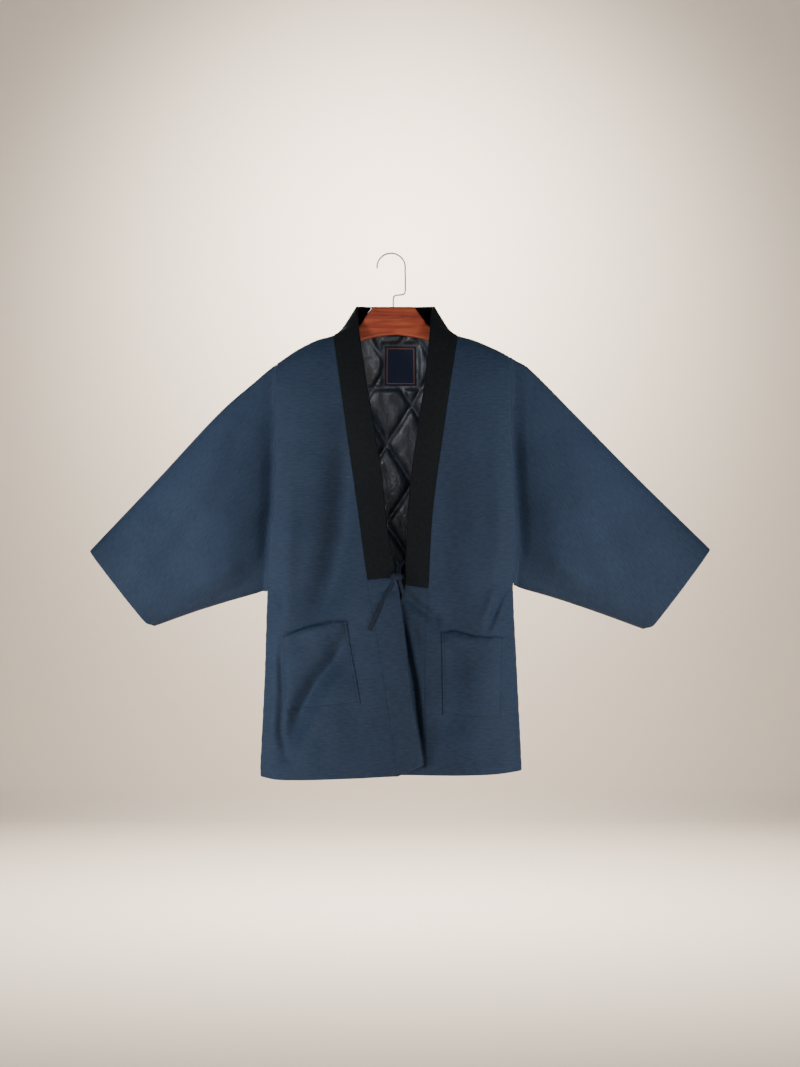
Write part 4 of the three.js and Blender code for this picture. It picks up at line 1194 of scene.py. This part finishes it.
def stitch_nodes(material):
    """The nodes that lay stitches of a material along a line, with their sizes in metres."""
    tree = bpy.data.node_groups.new("lay_stitches", "GeometryNodeTree")
    sockets = tree.interface
    sockets.new_socket("Geometry", in_out="INPUT", socket_type="NodeSocketGeometry")
    for name, value in (("Pitch", 0.0032), ("Stitch Length", 0.0024), ("Thread", 0.00032)):
        socket = sockets.new_socket(name, in_out="INPUT", socket_type="NodeSocketFloat")
        socket.default_value = value
    sockets.new_socket("Geometry", in_out="OUTPUT", socket_type="NodeSocketGeometry")
    given = add_node(tree, "NodeGroupInput").outputs
    line = add_node(tree, "GeometryNodeMeshToCurve", {"Mesh": given["Geometry"]}).outputs["Curve"]
    pitch = {"Curve": line, "Length": given["Pitch"]}
    steps = add_node(tree, "GeometryNodeResampleCurve", pitch, mode="LENGTH").outputs["Curve"]
    bead = add_node(tree, "GeometryNodeMeshUVSphere", {"Segments": 6, "Rings": 5, "Radius": 1})
    half = maths(tree, "MULTIPLY", given["Stitch Length"], 0.5)
    size = {"X": given["Thread"], "Y": given["Thread"], "Z": half}
    tangent = add_node(tree, "GeometryNodeInputTangent").outputs["Tangent"]
    turned = add_node(tree, "FunctionNodeAlignRotationToVector", {"Vector": tangent}, axis="Z")
    laid = add_node(
        tree,
        "GeometryNodeInstanceOnPoints",
        {
            "Points": steps,
            "Instance": bead.outputs["Mesh"],
            "Rotation": turned.outputs["Rotation"],
            "Scale": add_node(tree, "ShaderNodeCombineXYZ", size).outputs["Vector"],
        },
    )
    laid = {"Geometry": laid.outputs["Instances"]}
    real = add_node(tree, "GeometryNodeRealizeInstances", laid).outputs["Geometry"]
    dyed = add_node(tree, "GeometryNodeSetMaterial", {"Geometry": real, "Material": material})
    add_node(tree, "NodeGroupOutput", {"Geometry": dyed.outputs["Geometry"]})
    return tree


def plain_mesh(name, made_from):
    """A piece with the finished mesh of an object, which is taken away."""
    made = made_from.evaluated_get(bpy.context.evaluated_depsgraph_get())
    mesh = bpy.data.meshes.new_from_object(made)
    mesh.shade_smooth()
    bpy.data.objects.remove(made_from)
    return in_scene(name, mesh)


def stitches(name, lines, tree, sizes):
    """Real stitches along polylines of points in millimetres, as one plain mesh."""
    mesh = bpy.data.meshes.new(name + "_lines")
    points, edges = [], []
    for line in lines:
        start = len(points)
        points += (np.asarray(line) * MM).tolist()
        edges += [(start + i, start + i + 1) for i in range(len(line) - 1)]
    mesh.from_pydata(points, edges, [])
    guide = in_scene(name + "_lines", mesh)
    modifier = guide.modifiers.new("lay_stitches", "NODES")
    modifier.node_group = tree
    for socket in tree.interface.items_tree:
        if socket.name in sizes:
            modifier[socket.identifier] = sizes[socket.name]
    return plain_mesh(name, guide)


def own_place(tree, *scale):
    """The piece's own coordinates, in metres, times a scale each way."""
    place = add_node(tree, "ShaderNodeTexCoord").outputs["Object"]
    return add_node(tree, "ShaderNodeMapping", {"Vector": place, "Scale": scale}).outputs["Vector"]


navy_thread, tree, shader = new_finish("navy_thread")
ply = noise(tree, own_place(tree, 1800, 1800, 1800), 1)
shade = ramp(tree, ply, (0.35, colour(11, 17, 26)), (0.65, colour(19, 28, 41)))
feed(tree, shader, {"Base Color": shade, "Roughness": 0.6})
lay_stitches = stitch_nodes(navy_thread)

pocket_sizes = {"Thread": 0.00055}
pocket_stitches = stitches("pocket_stitches", pocket_stitch_lines, lay_stitches, pocket_sizes)
settle(pocket_stitches)

QUILT_LOW = (-186, -880)  # where the quilting ends, in x and z
QUILT_HIGH = (190, -172)
QUILT_LINES = range(-9, 10)
LABEL_CLEAR = 3

run = np.arange(QUILT_LOW[1], QUILT_HIGH[1], 2.5)
quilting_lines = []
for slant in (1, -1):
    for step in QUILT_LINES:
        x = QUILT_CROSSING[0] + step * QUILT_SPACING - slant * (run - QUILT_CROSSING[1]) / QUILT_SLOPE
        on_label = (x > LABEL["left"] - LABEL_CLEAR) & (x < LABEL["right"] + LABEL_CLEAR)
        on_label = on_label & (run > LABEL["foot"] - LABEL_CLEAR)
        kept = (x > QUILT_LOW[0]) & (x < QUILT_HIGH[0]) & ~on_label
        x, z = x[kept], run[kept]
        is_unbroken = np.all(np.diff(z) < 3)
        if len(x) > 5 and is_unbroken:
            points, normals = back_face.surface(x, z)
            inset = LINING_INSET + lining_height(x, z) + 0.2
            quilting_lines.append(points - normals * inset[:, None])
quilt_sizes = {"Pitch": 0.0046, "Stitch Length": 0.0038}
quilting_stitches = stitches("quilting_stitches", quilting_lines, lay_stitches, quilt_sizes)
settle(quilting_stitches)

# ---------------------------------------------------------------------------------------------
# Hanger: a varnished wooden bar shaped to the shoulders, with a thinner flat-topped neck above
# its middle that the hook screws into.

HANGER_HALF = 6
HANGER_REACH = (-192, 200)
HANGER_ROUND = 4.5
ARM_HEIGHT = 25
HANGER_CLEAR = 2.6
END_ROUND = 9
NECK = {"x": 4, "half_width": 62, "foot": -131, "thinner_by": 0.2}

hanger_top = [(-82, -152), (-54, -125), (-34, -95), (41, -95), (64, -125), (96, -152)]
hanger_foot = [(-108, -180), (-51, -156), (-22, -149), (6, -146.5), (34, -149), (65, -156), (124, -180)]


def arm_z(x):
    return shoulder(x) - CLOTH - HANGER_CLEAR


kinks = [x for x, _ in hanger_top]
runs = np.unique(np.concatenate([np.linspace(*HANGER_REACH, 150), kinks]))
ends = np.minimum(runs - HANGER_REACH[0], HANGER_REACH[1] - runs)
top_z = np.interp(
    runs,
    [NECK_X["right"], *kinks, NECK_X["left"]],
    [arm_z(NECK_X["right"]), *(z for _, z in hanger_top), arm_z(NECK_X["left"])],
)
top_z = np.where((runs < NECK_X["right"]) | (runs > NECK_X["left"]), arm_z(runs), top_z)
foot_z = np.where(
    (runs < hanger_foot[0][0]) | (runs > hanger_foot[-1][0]),
    arm_z(runs) - ARM_HEIGHT,
    curve(*hanger_foot)(runs),
)
end_round = rounded((ends + 0.4) / END_ROUND)
middle_z = (top_z + foot_z) / 2
half_z = (top_z - foot_z) / 2 * mix(0.45, 1, end_round)

corner = np.linspace(0, math.pi / 2, 6)
signs, turned = [], []
for quarter, sign in enumerate(((1, 1), (-1, 1), (-1, -1), (1, -1))):
    signs += [sign] * len(corner)
    turned += list(corner + quarter * math.pi / 2)
sign_y, sign_z = np.array(signs).T
rounding = np.minimum(HANGER_ROUND, half_z * 0.9)[:, None]
z = middle_z[:, None] + sign_z * (half_z[:, None] - rounding) + np.sin(turned) * rounding
half_y = HANGER_HALF * mix(0.4, 1, end_round)[:, None]
y_round = np.minimum(rounding, half_y)
y = sign_y * (half_y - y_round) + np.cos(turned) * y_round
is_neck = (np.abs(runs - NECK["x"]) < NECK["half_width"])[:, None]
neck_thin = 1 - NECK["thinner_by"] * ease((z - NECK["foot"]) / 4) * is_neck
hanger_points = np.stack(np.broadcast_arrays(runs[:, None], y * neck_thin, z), -1)
at = grid_numbers(*hanger_points.shape[:2])
at = np.concatenate([at, at[:, :1]], axis=1)
hanger = mesh_of("wooden_hanger", hanger_points.reshape(-1, 3), grid_faces(at))


def close_ends(body):
    bmesh.ops.holes_fill(body, edges=body.edges)


rework(hanger, close_ends, turn_outward)
hanger.data.shade_smooth()
hanger.data.set_sharp_from_angle(angle=math.radians(40))

varnished_wood, tree, shader = new_finish("varnished_wood")
grain = noise(tree, own_place(tree, 7, 60, 90), 6, 0.65, 1.4)
pores = noise(tree, own_place(tree, 60, 700, 900), 3, 0.6)
reds = (0.3, colour(100, 33, 18)), (0.5, colour(154, 64, 38)), (0.7, colour(186, 90, 53))
look = {
    "Base Color": ramp(tree, grain, *reds),
    "Normal": bump(tree, pores, 0.0002, 0.4),
    "Roughness": 0.42,
    "Coat Weight": 0.25,
    "Coat Roughness": 0.3,
}
feed(tree, shader, look)
hanger.data.materials.append(varnished_wood)
settle(hanger, "hanger_wood")

# ---------------------------------------------------------------------------------------------
# Hook: bright steel wire, screwed into the hanger's neck, stepped aside and bent to an open crook.

HOOK_WIRE = 2.8
CROOK = 25.5
STEM_X = 4
crook_turn = np.linspace(-0.05, 1.02, 28) * math.pi
hook_route = [
    (STEM_X, -114), (STEM_X, -96), (STEM_X, -82), (STEM_X + 0.7, -77), (STEM_X + 3.5, -74.6),
    (12, -74), (20, -73.2), (24, -71.4), (25.6, -67), (25.7, -48),
    *((CROOK * math.cos(a), HOOK_WIRE / 2 - CROOK + CROOK * math.sin(a)) for a in crook_turn),
]  # fmt: skip
wire = bpy.data.curves.new("hook_wire", "CURVE")
wire.dimensions = "3D"
wire.bevel_depth = HOOK_WIRE / 2 * MM
wire.bevel_resolution = 4
wire.use_fill_caps = True
line = wire.splines.new("POLY")
line.points.add(len(hook_route) - 1)
for spot, (x, z) in zip(line.points, hook_route):
    spot.co = (x * MM, 0, z * MM, 1)
hook = plain_mesh("hanger_hook_wire", in_scene("hook_wire_line", wire))

bright_wire, tree, shader = new_finish("bright_wire")
drawn = noise(tree, own_place(tree, 260, 260, 260), 3)
shade = ramp(tree, drawn, (0.3, colour(122, 118, 114)), (0.7, colour(168, 164, 158)))
feed(tree, shader, {"Base Color": shade, "Metallic": 1, "Roughness": 0.3})
hook.data.materials.clear()
hook.data.materials.append(bright_wire)
settle(hook, "hanger_hook")
